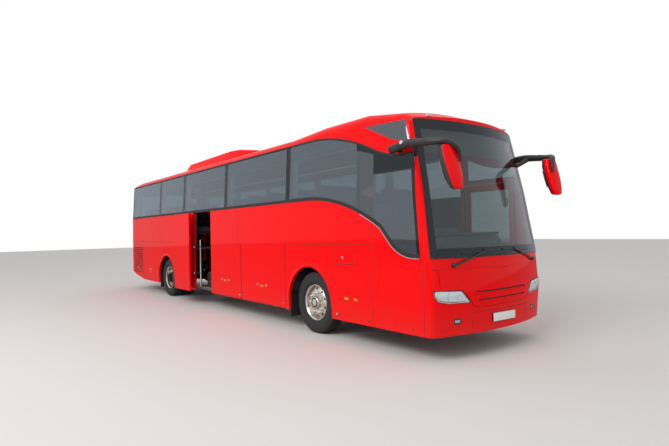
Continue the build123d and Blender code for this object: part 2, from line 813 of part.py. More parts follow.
knuckles = {}
for name, side in (("left", 1), ("right", -1)):
    centre = Pos(ahead(0), side * kingpin_offset, axle_z)
    body = centre * Cylinder(kingpin_radius, 250)
    for rise in (-1, 1):
        body = body + centre * Pos(0, side * 20, rise * (75 + 22)) * Box(100, 140, 40)
    body = body + centre * Pos(0, side * 76, 0) * Box(100, 36, 234)
    stub_end = front_wheel_offset + 40 - bond
    body = body + rod((ahead(0), side * (kingpin_offset + 80), axle_z), (ahead(0), side * stub_end, axle_z), 60)
    knuckles[name] = body

# Engine and gearbox behind the rear axle
engine_half = 330
engine = block(-9780, -8600, -engine_half, engine_half, 560, 1240) + block(-8600, -7900, -240, 240, 470, 715)
engine = engine + rod((ahead(-7905), 0, 600), (ahead(rear_axle - 334), 0, axle_z + 36), 45)
for place in (-9500, -8850):
    foot_half = rail_half - rail_size / 2 - bond
    engine = engine + block(place - 50, place + 50, -foot_half, foot_half, 740, 840)

# Mirrors
# ahead of the axle, out from the middle, height, radius
mirror_bar = (
    (2030, 1350, 2800, 56),
    (2360, 1350, 2842, 52),
    (2800, 1335, 2868, 38),
    (2925, 1262, 2850, 34),
    (2975, 1160, 2775, 31),
    (2965, 1098, 2670, 27),
    (2962, 1092, 2560, 20),
)
mirror_feet = (
    ((2120, 1200, 2790, 46), (2120, 1350, 2812, 50)),
    ((2330, 1180, 2620, 30), (2400, 1340, 2830, 40)),
)
# height, ahead of the axle, out from the middle, depth, width, corner radius
head_sections = (
    (2740, 2880, 1228, 60, 110, 24),
    (2715, 2885, 1228, 96, 170, 40),
    (2600, 2905, 1228, 124, 232, 50),
    (2460, 2940, 1222, 134, 250, 52),
    (2320, 2980, 1210, 122, 215, 50),
    (2225, 3008, 1202, 94, 150, 40),
    (2195, 3016, 1200, 56, 96, 22),
)


def limb(first, last):
    """Tapered round bar with a ball at its far end, from places with radii."""
    start = Vector(*first[:3])
    end = Vector(*last[:3])
    run = end - start
    cone = Cone(first[3], last[3], run.length, align=standing)
    return Plane(origin=start, z_dir=run) * cone + Pos(end) * Sphere(last[3])


path = [(ahead(x), y, z, r) for x, y, z, r in mirror_bar]
left_arm = Pos(*path[0][:3]) * Sphere(path[0][3])
for first, last in zip(path, path[1:]):
    left_arm = left_arm + limb(first, last)
for foot in mirror_feet:
    left_arm = left_arm + limb(*[(ahead(x), y, z, r) for x, y, z, r in foot])
head_faces = []
for height, place, out, depth, width, corner in head_sections:
    head_faces.append(Pos(ahead(place), out, height) * RectangleRounded(depth, width, corner))
left_head = loft(head_faces, ruled=True)
left_arm = largest(left_arm - outer - left_head)
mirror_arms = [mirrored(left_arm), left_arm]
mirror_heads = [mirrored(left_head), left_head]

# Wipers
# out from the middle and height of the pivot, the arm's end and the two ends of the blade
wiper_pivot = (930, 1240)
wiper_reach = (360, 1412)
blade_ends = ((780, 1388), (40, 1416))
wiper_stand = 26


def on_screen(place, proud):
    """Point on the front surface, or proud of it."""
    return (ahead(front_face(*place) + proud), -place[0], place[1])


near_wiper = rod(on_screen(wiper_pivot, wiper_stand), on_screen(wiper_reach, wiper_stand), 15)
near_wiper = near_wiper + Pos(*on_screen(wiper_pivot, wiper_stand)) * Sphere(26)
near_wiper = near_wiper + rod(on_screen(wiper_pivot, -6), on_screen(wiper_pivot, wiper_stand), 17)
for end in blade_ends:
    near_wiper = near_wiper + rod(on_screen(wiper_reach, wiper_stand), on_screen(end, wiper_stand), 9)
near_wiper = largest(near_wiper - outer)
wipers = [near_wiper, mirrored(near_wiper)]

# Side markers
marker_lamps = []
for place, side in [(p, s) for p in (950, -8170, -9450) for s in (-1, 1)]:
    marker_lamps.append(Pos(ahead(place), side * (half_width + 4 + bond), 680) * Box(95, 8, 34))

# Seats
seat_pitch = 830
seat_rows = 12
first_row = 250
bench = outline(
    (0, 120),
    (-90, 120),
    (-90, 400),
    (-110, 470),
    (-190, 1080),
    (-120, 1120),
    (-60, 1060),
    (20, 500),
    (430, 470),
    (440, 380),
    (80, 360),
    (80, 120),
)


def seat_side(side):
    span = sorted((side * 300, side * 1190))
    row = sideways(bench, *span)
    last_row = first_row - (seat_rows - 1) * seat_pitch
    plinth = sorted((side * 420, side * 1050))
    seats = block(last_row - 110, first_row + 100, *plinth, deck_height + bond, deck_height + 130)
    for number in range(seat_rows):
        seats = seats + Pos(first_row - number * seat_pitch, 0, deck_height) * row
    return seats


seats_right = seat_side(-1) - block(well_rear - 300, well_front + 60, -1300, 0, 1300, 3000)
seats_left = seat_side(1)
cab_seat = outline(
    (1230, cab_floor_height + bond),
    (1600, cab_floor_height + bond),
    (1600, 1300),
    (1780, 1340),
    (1780, 1450),
    (1380, 1470),
    (1240, 2180),
    (1130, 2160),
    (1210, 1300),
)
driver_seat = sideways(cab_seat, -900, -420)

# Parcel racks, lying against the window walls
rack_top = 3110
rack_foot = 2990
rack_out = inner_half - bond - 0.3


def rack(side):
    points = [(rack_out - side_lean * (z - 2250), z) for z in (rack_foot, rack_top)]
    points += [(700, 3070), (640, 3015), (690, 2955), (760, 2950)]
    return front_view([(side * y, z) for y, z in points], -9860, 900)


parcel_racks = [rack(-1), rack(1)]

# Dashboard and steering wheel
dash_side = outline(
    (2120, cab_floor_height + bond),
    (2480, cab_floor_height + bond),
    (2540, 1330),
    (2440, 1600),
    (2200, 1640),
    (2150, 1500),
)
dashboard = sideways(dash_side, -1180, 500) & inner
wheel_centre = (ahead(2010), -660, 1680)
column_lean = 55
tilt = Pos(*wheel_centre) * Rot(0, -90 + column_lean, 0)
dashboard = dashboard + tilt * Pos(0, 0, -15 - bond - 300) * Cylinder(35, 600)
grip = [(225 + 16 * math.cos(math.radians(a)), 0, 16 * math.sin(math.radians(a))) for a in range(0, 360, 60)]
steering_wheel = tilt * (revolve(make_face(Polyline(grip, close=True)), axis=Axis.Z) + Cylinder(40, 30))
for angle in (90, 210, 330):
    steering_wheel = steering_wheel + tilt * Rot(0, 0, angle) * Pos(115, 0, 0) * Box(210, 30, 12)

# Handrail by the centre door
rail_foot = (ahead(-4060), -1190)
rail_path = (
    (*rail_foot, tread_heights[0] + bond),
    (*rail_foot, 1560),
    (rail_foot[0], -700, 1950),
    (rail_foot[0], -700, tread_heights[1] + bond),
)
handrails = tube(rail_path, 17, 120)


def save(name, *pieces):
    """One file for each named piece."""
    solids = []
    for piece in pieces:
        solids.extend((Pos(middle_shift, 0, 0) * piece).solids())
    shape = Compound(children=[Solid(s.wrapped) for s in solids]) if len(solids) > 1 else solids[0]
    export_step(shape, f"parts/{name}.step")


os.makedirs("parts", exist_ok=True)
save("roof", roof)
save("window_wall_right", window_wall_right)
save("window_wall_left", window_wall_left)
save("skirt_right", skirt_right)
save("skirt_left", skirt_left)
save("front_mask", front_mask)
save("bumper", bumper)
save("rear_wall", rear_wall)
save("windscreen", windscreen)
save("glass_right", *right_panes)
save("glass_left", *left_panes)
save("rear_glass", rear_glass)
save("air_conditioner", air_conditioner)
save("deck", deck)
save("cab_floor", cab_floor)
save("steps", steps)
save("hold", hold)
save("wheelhouses", houses)
save("underframe", underframe)
save("front_axle", front_axle)
save("rear_axle", rear_housing)
save("engine", engine)
save("headlamps", *headlamps, *fog_lamps)
save("tail_lamps", *tail_lamps)
save("marker_lamps", *marker_lamps)
save("wipers", *wipers)
save("mirror_arms", *mirror_arms)
save("mirror_heads", *mirror_heads)
save("seats_right", seats_right)
save("seats_left", seats_left)
save("driver_seat", driver_seat)
save("parcel_racks", *parcel_racks)
save("dashboard", dashboard)
save("steering_wheel", steering_wheel)
save("handrails", handrails)
save("front_flap", front_flap)
save("engine_lid", engine_lid)
save("centre_door", centre_door)
save("centre_door_glass", centre_door_glass)
save("centre_door_arms", centre_door_arms)
save("front_door", front_door)
save("front_door_glass", front_door_glass)
save("front_door_arms", front_door_arms)
for name, flap in hold_flaps.items():
    save(name, flap)
for name, side in (("left", 1), ("right", -1)):
    save(f"knuckle_{name}", knuckles[name])
    save(f"front_tyre_{name}", wheel_at(0, front_wheel_offset, side, tyre))
    save(f"front_rim_{name}", wheel_at(0, front_wheel_offset, side, front_rim))
    save(f"rear_tyres_{name}", *[wheel_at(rear_axle, rear_outer_offset, side, t) for t in rear_tyres])
    save(f"rear_rims_{name}", wheel_at(rear_axle, rear_outer_offset, side, rear_rims))
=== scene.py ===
# %% [markdown]
# A high-deck touring coach, dressed for its picture.
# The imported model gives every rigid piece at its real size. This lesson loads it, sets the
# photograph's viewpoint, and then adds finishes and the finer pieces one at a time.

# %% Load the frame
import bpy
import bmesh
import json
import math
from mathutils import Matrix, Vector


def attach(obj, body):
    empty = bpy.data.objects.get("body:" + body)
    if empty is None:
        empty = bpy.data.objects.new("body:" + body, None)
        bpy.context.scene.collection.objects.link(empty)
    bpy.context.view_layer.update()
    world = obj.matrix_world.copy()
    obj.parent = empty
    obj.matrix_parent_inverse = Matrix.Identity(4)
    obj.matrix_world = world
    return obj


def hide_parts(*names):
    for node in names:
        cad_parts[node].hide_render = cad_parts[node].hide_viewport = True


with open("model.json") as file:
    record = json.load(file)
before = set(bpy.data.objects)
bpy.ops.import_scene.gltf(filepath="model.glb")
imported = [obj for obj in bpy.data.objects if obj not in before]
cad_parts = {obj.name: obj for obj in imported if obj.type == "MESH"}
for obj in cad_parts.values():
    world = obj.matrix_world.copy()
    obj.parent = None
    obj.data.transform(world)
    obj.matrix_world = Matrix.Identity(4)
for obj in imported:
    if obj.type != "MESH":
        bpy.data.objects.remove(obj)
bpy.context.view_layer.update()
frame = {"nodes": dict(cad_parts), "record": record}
nodes = frame["nodes"]
print("pieces in the frame:", len(nodes))

# %% [markdown]
# The coach's own measures, in metres, are kept here once. Lengthwise places are given
# ahead of the front axle, as a coachbuilder would, and adding FRONT_AXLE gives X.
# The side and front surfaces are written as formulas, so that trim can lie on them.

# %% Measures of the body
FRONT_AXLE = 3.5525
HALF_WIDTH = 1.275
SILL = 2.230
AXLE_HEIGHT = 0.515
REAR_AXLE = -6.910
TAIL = -10.160
LEAN_START = 2.250
SIDE_LEAN = 0.053
# height, nose ahead of the axle, bow radius
FRONT_ROWS = (
    (0.25, 2.795, 4.05),
    (0.8, 2.845, 4.05),
    (1.33, 2.805, 4.05),
    (2.25, 2.648, 3.9),
    (3.25, 2.44, 3.5),
    (3.8, 2.3, 3.3),
)
RIGHT, LEFT = -1, 1
SIDES = (("right", RIGHT), ("left", LEFT))


def on_side(place, height, side, proud=0.0):
    """Point on a side wall, place being ahead of the front axle."""
    out = HALF_WIDTH - SIDE_LEAN * max(0.0, height - LEAN_START) + proud
    return Vector((FRONT_AXLE + place, side * out, height))


def on_front(across, height, proud=0.0):
    """Point on the bowed front, across being along Y."""
    for low, high in zip(FRONT_ROWS, FRONT_ROWS[1:]):
        if low[0] <= height <= high[0]:
            share = (height - low[0]) / (high[0] - low[0])
            nose = low[1] + share * (high[1] - low[1])
            bow = low[2] + share * (high[2] - low[2])
    return Vector((FRONT_AXLE + nose - bow + math.sqrt(bow**2 - across**2) + proud, across, height))


def front_normal(across, height):
    """Outward direction of the bowed front."""
    rise = on_front(across, height + 0.01) - on_front(across, height - 0.01)
    reach = on_front(across + 0.01, height) - on_front(across - 0.01, height)
    return reach.cross(rise).normalized()


def arc(start, via, end, count):
    """Points on the circle through three points, the first one left out."""
    (ax, ay), (bx, by), (cx, cy) = start, via, end
    area = 2 * (ax * (by - cy) + bx * (cy - ay) + cx * (ay - by))
    a2, b2, c2 = ax * ax + ay * ay, bx * bx + by * by, cx * cx + cy * cy
    x = (a2 * (by - cy) + b2 * (cy - ay) + c2 * (ay - by)) / area
    y = (a2 * (cx - bx) + b2 * (ax - cx) + c2 * (bx - ax)) / area
    first = math.atan2(ay - y, ax - x)
    middle = (math.atan2(by - y, bx - x) - first + math.pi) % math.tau - math.pi
    last = (math.atan2(cy - y, cx - x) - first + math.pi) % math.tau - math.pi
    if last * middle < 0:
        last += math.tau if middle > 0 else -math.tau
    radius = math.hypot(ax - x, ay - y)
    turns = [first + last * n / count for n in range(1, count + 1)]
    return [(x + radius * math.cos(t), y + radius * math.sin(t)) for t in turns]


# The lower edge of the window band on the driver's side, and its upper edge
SWOOP = [(-9.99, SILL), (-0.1, SILL)]
SWOOP += arc((-0.1, SILL), (1.0, 2.065), (1.71, 1.745), 14) + [(1.88, 1.55)]
SWOOP += arc((1.88, 1.55), (2.06, 1.405), (2.3, 1.338), 8) + [(2.44, 1.335)]
BROW = [(-9.99, 3.25), (-0.1, 3.25)]
BROW += list(reversed(arc((1.63, 2.86), (0.75, 3.165), (-0.1, 3.25), 12)))[1:] + [(1.63, 2.86)]
BROW += arc((1.63, 2.86), (1.95, 2.765), (2.34, 2.75), 6)
PANE_JOINTS = (-7.38, -5.58, -3.17, -0.67, 1.27)
print("points along the swoop:", len(SWOOP), "and the brow:", len(BROW))

# %% [markdown]
# Every added piece is made from points and faces. These few builders turn a path, a profile
# or a box into a part, which is a pair of points and faces, and join() puts several of them
# into one. Each piece then rides on the body that carries it, so that it moves with the
# doors, flaps and wheels.


# %% Mesh builders
def join(*parts):
    """Several (points, faces) pairs as one."""
    points, faces = [], []
    for some_points, some_faces in parts:
        shift = len(points)
        points += [Vector(p) for p in some_points]
        faces += [tuple(i + shift for i in face) for face in some_faces]
    return points, faces


def mirrored(part):
    """The same part on the other side of the coach."""
    points, faces = part
    return [Vector((p[0], -p[1], p[2])) for p in points], [tuple(reversed(face)) for face in faces]


def moved(part, shift):
    """The part shifted by a vector."""
    return [Vector(p) + Vector(shift) for p in part[0]], part[1]


def turned(part, angle, axis, pivot):
    """The part turned about an axis through a pivot."""
    turn = Matrix.Rotation(angle, 4, axis)
    pivot = Vector(pivot)
    return [turn @ (Vector(p) - pivot) + pivot for p in part[0]], part[1]


def rings(sections, closed=False, capped=True):
    """Skin over sections that all have the same number of points, its ends capped or joined."""
    count = len(sections[0])
    points = [Vector(p) for section in sections for p in section]
    faces = []
    laps = len(sections) if closed else len(sections) - 1
    for ring in range(laps):
        near, far = ring * count, (ring + 1) % len(sections) * count
        for n in range(count):
            step = (n + 1) % count
            faces.append((near + n, near + step, far + step, far + n))
    if capped and not closed:
        faces.append(tuple(reversed(range(count))))
        faces.append(tuple(range(len(points) - count, len(points))))
    return points, faces


def ribbon(path, outs, width, thick):
    """Flat moulding on a surface, with sloping edges, along path with outward directions."""
    sections = []
    for n, point in enumerate(path):
        run = path[min(n + 1, len(path) - 1)] - path[max(n - 1, 0)]
        across = run.cross(outs[n]).normalized() * width / 2
        lift = outs[n] * thick
        edge = 1 - min(0.4, thick / width)
        sections.append(
            [point - across, point - across * edge + lift, point + across * edge + lift, point + across]
        )
    return rings(sections)


def side_ribbon(path, side, width, thick, proud=0.0):
    """Moulding on a side wall, through places and heights."""
    points = [on_side(x, z, side, proud) for x, z in path]
    return ribbon(points, [Vector((0, side, SIDE_LEAN)).normalized()] * len(points), width, thick)


def front_ribbon(path, width, thick, proud=0.0):
    """Moulding on the front, through distances across and heights."""
    points = [on_front(y, z, proud) for y, z in path]
    return ribbon(points, [front_normal(y, z) for y, z in path], width, thick)


def along(start, end, count):
    """Evenly spaced points between two, both ends included."""
    return [tuple(a + (b - a) * n / count for a, b in zip(start, end)) for n in range(count + 1)]


def rectangle(low, foot, high, top):
    """Four corners, starting at the first two numbers."""
    return [(low, foot), (high, foot), (high, top), (low, top)]


def pipe(path, radii, sides=12):
    """Round bar through points, with one radius for each point."""
    path = [Vector(p) for p in path]
    radii = radii if isinstance(radii, (list, tuple)) else [radii] * len(path)
    sections = []
    up = Vector((0.13, 0.21, 0.97)).normalized()
    for n, point in enumerate(path):
        run = (path[min(n + 1, len(path) - 1)] - path[max(n - 1, 0)]).normalized()
        first = run.cross(up)
        if first.length < 0.05:
            first = run.cross(Vector((1, 0, 0)))
        first.normalize()
        up = first.cross(run)
        turns = [math.tau * k / sides for k in range(sides)]
        sections.append([point + radii[n] * (math.cos(t) * first + math.sin(t) * up) for t in turns])
    return rings(sections)


def lathe(profile, count, centre, side):
    """Solid of revolution about Y from (radius, outward) pairs, its outer face on one side."""
    sections = []
    for n in range(count):
        turn = math.tau * n / count * side
        direction = Vector((math.cos(turn), 0, math.sin(turn)))
        sections.append([Vector(centre) + direction * r + Vector((0, side * out, 0)) for r, out in profile])
    return rings(sections, closed=True)


def rounded_box(low, high, bevel, segments=2):
    """Box between two corners with rounded edges."""
    shape = bmesh.new()
    bmesh.ops.create_cube(shape, size=1.0)
    low, high = Vector(low), Vector(high)
    for vertex in shape.verts:
        vertex.co = Vector((low[i] + (high[i] - low[i]) * (vertex.co[i] + 0.5) for i in range(3)))
    bmesh.ops.bevel(shape, geom=shape.edges[:], offset=bevel, segments=segments, profile=0.6, affect="EDGES")
    shape.verts.index_update()
    points = [vertex.co.copy() for vertex in shape.verts]
    faces = [tuple(vertex.index for vertex in face.verts) for face in shape.faces]
    shape.free()
    return points, faces


def piece(name, part, finish, body="coach", sharp=35):
    """One named object from points and faces, riding on a body."""
    mesh = bpy.data.meshes.new(name)
    mesh.from_pydata(part[0], [], part[1])
    fixer = bmesh.new()
    fixer.from_mesh(mesh)
    bmesh.ops.recalc_face_normals(fixer, faces=fixer.faces[:])
    fixer.to_mesh(mesh)
    fixer.free()
    mesh.polygons.foreach_set("use_smooth", [True] * len(mesh.polygons))
    mesh.set_sharp_from_angle(angle=math.radians(sharp))
    mesh.materials.append(materials[finish])
    made = bpy.data.objects.new(name, mesh)
    bpy.context.collection.objects.link(made)
    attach(made, body)
    return made


print("builders ready")

# %% [markdown]
# The camera stands where the photographer stood. Its place and turn were fitted to the
# wheel centres, seams and window corners of the photograph, so the render and the
# photograph can be laid side by side.

# %% Camera
CAMERA_PLACE = Vector((FRONT_AXLE + 6.742, -6.046, 1.714))
CAMERA_YAW, CAMERA_PITCH, CAMERA_ROLL = (math.radians(a) for a in (141.777, 0.935, -1.143))
FOCAL_PIXELS = 490.8
PICTURE_WIDTH = 669
SENSOR_WIDTH = 36.0

forward = Vector((
    math.cos(CAMERA_YAW) * math.cos(CAMERA_PITCH),
    math.sin(CAMERA_YAW) * math.cos(CAMERA_PITCH),
    math.sin(CAMERA_PITCH),
))
level_right = forward.cross(Vector((0, 0, 1))).normalized()
level_up = level_right.cross(forward)
camera_right = math.cos(CAMERA_ROLL) * level_right + math.sin(CAMERA_ROLL) * level_up
camera_up = -math.sin(CAMERA_ROLL) * level_right + math.cos(CAMERA_ROLL) * level_up
camera_data = bpy.data.cameras.new("camera")
camera_data.sensor_width = SENSOR_WIDTH
camera_data.lens = SENSOR_WIDTH * FOCAL_PIXELS / PICTURE_WIDTH
camera_data.clip_end = 200
camera = bpy.data.objects.new("camera", camera_data)
bpy.context.collection.objects.link(camera)
turn = Matrix((camera_right, camera_up, -forward)).transposed().to_4x4()
camera.matrix_world = Matrix.Translation(CAMERA_PLACE) @ turn
bpy.context.scene.camera = camera
print("lens:", round(camera_data.lens, 2), "mm")

# %% [markdown]
# Colours are written as sRGB hex values, as a paint card gives them, and one function turns
# them to the linear values that shaders work in. One more small function adds a node.


# %% Colour and node helpers
def to_linear(code):
    """Linear colour of an sRGB hex value such as EE0006."""
    channels = [int(code[i:i + 2], 16) / 255 for i in (0, 2, 4)]
    linear = [c / 12.92 if c <= 0.04045 else ((c + 0.055) / 1.055) ** 2.4 for c in channels]
    return (*linear, 1.0)


def add_node(tree, kind, inputs=None, **settings):
    """One shader node with its settings, values and links."""
    made = tree.nodes.new(kind)
    for name, value in settings.items():
        setattr(made, name, value)
    for name, value in (inputs or {}).items():
        if isinstance(value, bpy.types.NodeSocket):
            tree.links.new(value, made.inputs[name])
        else:
            made.inputs[name].default_value = value
    return made


def new_material(name, **values):
    """Material with one Principled shader, and its tree and shader for more nodes."""
    material = bpy.data.materials.new(name)
    material.use_nodes = True
    tree = material.node_tree
    shader = tree.nodes["Principled BSDF"]
    for socket, value in values.items():
        shader.inputs[socket.replace("_", " ")].default_value = value
    return material, tree, shader


def place_texture(tree):
    """Coordinates of the piece in metres."""
    return add_node(tree, "ShaderNodeTexCoord").outputs["Object"]


# %% [markdown]
# The panels are steel and glass fibre under two-pack coach enamel. The eye sees a bright red
# with a clear, slightly rippled gloss. The ripple, called orange peel, is about 4 mm across.
# Road dust lies as a thin dull veil low on the body, below 0.75 m, thicker in some places.

# %% Red coach enamel
PEEL_PITCH = 0.004
DUST_TOP, DUST_FULL = 0.75, 0.25
DUST_SHARE = 0.22


def height_share(tree, low, high):
    """0 at one height above the ground and 1 at another, as a socket."""
    where = add_node(tree, "ShaderNodeTexCoord")
    parts = add_node(tree, "ShaderNodeSeparateXYZ", {"Vector": where.outputs["Object"]})
    values = {"Value": parts.outputs["Z"], "From Min": low, "From Max": high}
    return add_node(tree, "ShaderNodeMapRange", values).outputs["Result"]


def mixed(tree, share, first, second):
    """Two colours, or a colour and a socket, blended by a share."""
    return add_node(
        tree, "ShaderNodeMix", {"Factor": share, 6: first, 7: second}, data_type="RGBA"
    ).outputs[2]


def multiplied(tree, first, second):
    """Product of two sockets, or of a socket and a number."""
    return add_node(tree, "ShaderNodeMath", {0: first, 1: second}, operation="MULTIPLY").outputs[0]


def red_enamel():
    """Red paint with a rippled clear coat and a veil of dust low down."""
    material, tree, shader = new_material(
        "red_coach_enamel", Coat_Weight=0.35, Coat_Roughness=0.02, Coat_IOR=1.4
    )
    shader.inputs["Specular IOR Level"].default_value = 0.0
    where = place_texture(tree)
    cloud = add_node(tree, "ShaderNodeTexNoise", {"Vector": where, "Scale": 0.9, "Detail": 3.0})
    tone = mixed(tree, cloud.outputs["Fac"], to_linear("EE0006"), to_linear("F80209"))
    dirt = add_node(tree, "ShaderNodeTexNoise", {"Vector": where, "Scale": 7.0, "Detail": 8.0})
    low = height_share(tree, DUST_TOP, DUST_FULL)
    dust = multiplied(tree, multiplied(tree, low, dirt.outputs["Fac"]), DUST_SHARE)
    tree.links.new(mixed(tree, dust, tone, to_linear("8A6A5C")), shader.inputs["Base Color"])
    dulled = add_node(
        tree, "ShaderNodeMapRange", {"Value": dust, "From Max": 0.2, "To Min": 0.38, "To Max": 0.6}
    )
    tree.links.new(dulled.outputs["Result"], shader.inputs["Roughness"])
    peel = add_node(tree, "ShaderNodeTexNoise", {"Vector": where, "Scale": 1 / PEEL_PITCH, "Detail": 1.0})
    ripple = add_node(
        tree, "ShaderNodeBump", {"Height": peel.outputs["Fac"], "Strength": 0.05, "Distance": 0.0005}
    )
    tree.links.new(ripple.outputs["Normal"], shader.inputs["Coat Normal"])
    return material


materials = {"red_paint": red_enamel()}
print("made", materials["red_paint"].name)

# %% [markdown]
# The saloon has bonded panes of dark grey toughened glass. Some light passes, so the seats
# show faintly, and its face mirrors the sky. The panes are double, so they mirror about
# three times as much as one face would. The windscreen is laminated and much clearer. The
# black border is enamel fired on the glass, and it mirrors about as one face does.
# Heat treatment leaves the panes very slightly wavy, about 0.4 m from crest to crest.

# %% Glass
WAVE_PITCH = 0.4
GRAZING_SHINE = 0.9


def pane_glass(name, film, tint, clear, mirror, shine):
    """Transparent tint with a faint film, under a mirror face that grows with the viewing angle."""
    material, tree, shader = new_material(name, Roughness=0.3)
    shader.inputs["Base Color"].default_value = to_linear(film)
    shader.inputs["Specular IOR Level"].default_value = 0.0
    where = place_texture(tree)
    wave = add_node(tree, "ShaderNodeTexNoise", {"Vector": where, "Scale": 1 / WAVE_PITCH, "Detail": 0.0})
    bend = add_node(
        tree, "ShaderNodeBump", {"Height": wave.outputs["Fac"], "Strength": 0.12, "Distance": 0.01}
    )
    see_through = add_node(tree, "ShaderNodeBsdfTransparent", {"Color": to_linear(tint)})
    layers = {"Fac": clear, 1: shader.outputs["BSDF"], 2: see_through.outputs["BSDF"]}
    inner = add_node(tree, "ShaderNodeMixShader", layers)
    gloss = {"Color": to_linear(mirror), "Roughness": 0.01, "Normal": bend.outputs["Normal"]}
    face = add_node(tree, "ShaderNodeBsdfGlossy", gloss)
    angle = add_node(tree, "ShaderNodeLayerWeight", {"Blend": 0.5})
    steep = add_node(tree, "ShaderNodeMath", {0: angle.outputs["Facing"], 1: 5.0}, operation="POWER")
    growth = {"Value": steep.outputs[0], "To Min": shine, "To Max": GRAZING_SHINE}
    share = add_node(tree, "ShaderNodeMapRange", growth)
    layers = {"Fac": share.outputs["Result"], 1: inner.outputs["Shader"], 2: face.outputs["BSDF"]}
    mixer = add_node(tree, "ShaderNodeMixShader", layers)
    tree.links.new(mixer.outputs["Shader"], tree.nodes["Material Output"].inputs["Surface"])
    return material


# key, name, film colour, tint, clearness, mirror colour, shine seen face on
GLASSES = (
    ("tinted_glass", "grey_toughened_glass", "39434B", "B7C1C6", 0.95, "D8E2EE", 0.14),
    ("frit", "black_ceramic_frit", "0B0C0D", "000000", 0.0, "D8E2EE", 0.045),
    ("clear_glass", "laminated_windscreen_glass", "5E6868", "DCE1DF", 0.98, "E2E8EE", 0.05),
    ("lamp_cover", "clear_polycarbonate_cover", "DDE2E4", "FAFCFC", 0.96, "F0F4F8", 0.2),
)
for key, *values in GLASSES:
    materials[key] = pane_glass(*values)
print("kinds of glass:", len(GLASSES))

# %% [markdown]
# The other finishes come from one recipe: a base colour, a second colour in patches of a real
# size, and a fine grain that roughens the surface. The table gives each one's numbers.


# %% Plain and grained finishes
def finish(key, name, code, patch, patch_size, grain_size, grain_depth, **values):
    """Material with patches of a second colour and a fine grain, sizes in metres."""
    material, tree, shader = new_material(name, **values)
    where = place_texture(tree)
    cloud = add_node(tree, "ShaderNodeTexNoise", {"Vector": where, "Scale": 1 / patch_size, "Detail": 4.0})
    tree.links.new(
        mixed(tree, cloud.outputs["Fac"], to_linear(code), to_linear(patch)), shader.inputs["Base Color"]
    )
    grain = add_node(tree, "ShaderNodeTexNoise", {"Vector": where, "Scale": 1 / grain_size, "Detail": 2.0})
    rough = add_node(
        tree, "ShaderNodeBump", {"Height": grain.outputs["Fac"], "Strength": 0.4, "Distance": grain_depth}
    )
    tree.links.new(rough.outputs["Normal"], shader.inputs["Normal"])
    materials[key] = material


# key, name, colour, patch colour, patch size, grain size, grain depth, roughness, metal
FINISHES = (
    ("black_plastic", "grained_black_abs", "171718", "232324", 0.05, 0.0012, 0.0004, 0.45, 0),
    ("gloss_black", "gloss_black_trim", "0B0C0D", "101112", 0.3, 0.002, 0.0001, 0.12, 0),
    ("rubber", "extruded_epdm_rubber", "141415", "1E1E1E", 0.04, 0.002, 0.0005, 0.7, 0),
    ("tyre", "tyre_rubber", "18181A", "2A2928", 0.06, 0.003, 0.0008, 0.78, 0),
    ("alloy", "polished_alloy", "D8D4CC", "B9B4AB", 0.02, 0.0015, 0.0002, 0.2, 1),
    ("chrome", "polished_chrome", "E2E4E6", "D2D4D6", 0.1, 0.004, 0.0001, 0.07, 1),
    ("cast_axle", "painted_castings", "1E1F20", "3A352F", 0.06, 0.004, 0.001, 0.6, 0),
    ("frame_paint", "chassis_paint", "26272A", "3A3632", 0.12, 0.006, 0.0008, 0.55, 0),
    ("hold_lining", "aluminium_sheet", "A4A6A8", "8C8E90", 0.2, 0.003, 0.0003, 0.42, 1),
    ("rack_lining", "grey_needle_carpet", "5A5D62", "6B6E73", 0.01, 0.002, 0.001, 0.95, 0),
    ("mirror_silver", "silvered_mirror", "EEF1F3", "E6EAEC", 0.5, 0.01, 0.00005, 0.02, 1),
    ("reflector", "vacuum_plated_reflector", "D9DDE0", "C6CBCF", 0.03, 0.004, 0.0002, 0.12, 1),
    ("lamp_housing", "pale_silver_lamp_housing", "E6E9EA", "D2D6D8", 0.03, 0.003, 0.0004, 0.25, 0),
    ("trim_silver", "satin_anodised_trim", "C7C9CC", "B5B8BB", 0.08, 0.001, 0.0001, 0.28, 1),
    ("number_plate", "blank_white_plate", "ECECE8", "E2E2DE", 0.05, 0.0008, 0.0001, 0.35, 0),
    ("red_lamp", "red_polycarbonate", "A80D0D", "8C0808", 0.012, 0.004, 0.0008, 0.12, 0),
    ("amber_lamp", "amber_polycarbonate", "F08A1C", "DC7410", 0.012, 0.004, 0.0008, 0.12, 0),
    ("clear_lamp", "frosted_lamp_optics", "D4D9DB", "BCC2C5", 0.012, 0.003, 0.0008, 0.15, 0),
    ("headlining", "pale_foam_headlining", "C9CACB", "BDBEC0", 0.03, 0.002, 0.0006, 0.9, 0),
    ("leather", "dark_grey_seat_vinyl", "2C2D31", "37383C", 0.02, 0.0015, 0.0006, 0.5, 0),
    ("curtain", "pleated_curtain_cloth", "DAD4C8", "C9C2B4", 0.01, 0.0008, 0.0004, 0.9, 0),
    ("blind_fabric", "screen_blind_mesh", "34373A", "3E4245", 0.004, 0.0012, 0.0005, 0.8, 0),
    ("step_yellow", "yellow_step_edge", "E8C21A", "D2AE16", 0.05, 0.002, 0.0004, 0.6, 0),
    ("cab_trim", "slush_moulded_dash_skin", "35373A", "2C2E31", 0.05, 0.0015, 0.0006, 0.6, 0),
)
for *values, roughness, metal in FINISHES:
    finish(*values, Roughness=roughness, Metallic=metal)
print("finishes:", len(materials))

# %% [markdown]
# Two finishes carry a scattered pattern. Moquette is a cut pile in which small dark red
# spots repeat about every 60 mm. The floor is vinyl with mineral flecks of 3 to 4 mm.

# %% Moquette and floor vinyl
SPOT_PITCH, SPOT_SHARE = 0.06, 0.22
FLECK_PITCH, FLECK_SHARE = 0.009, 0.2


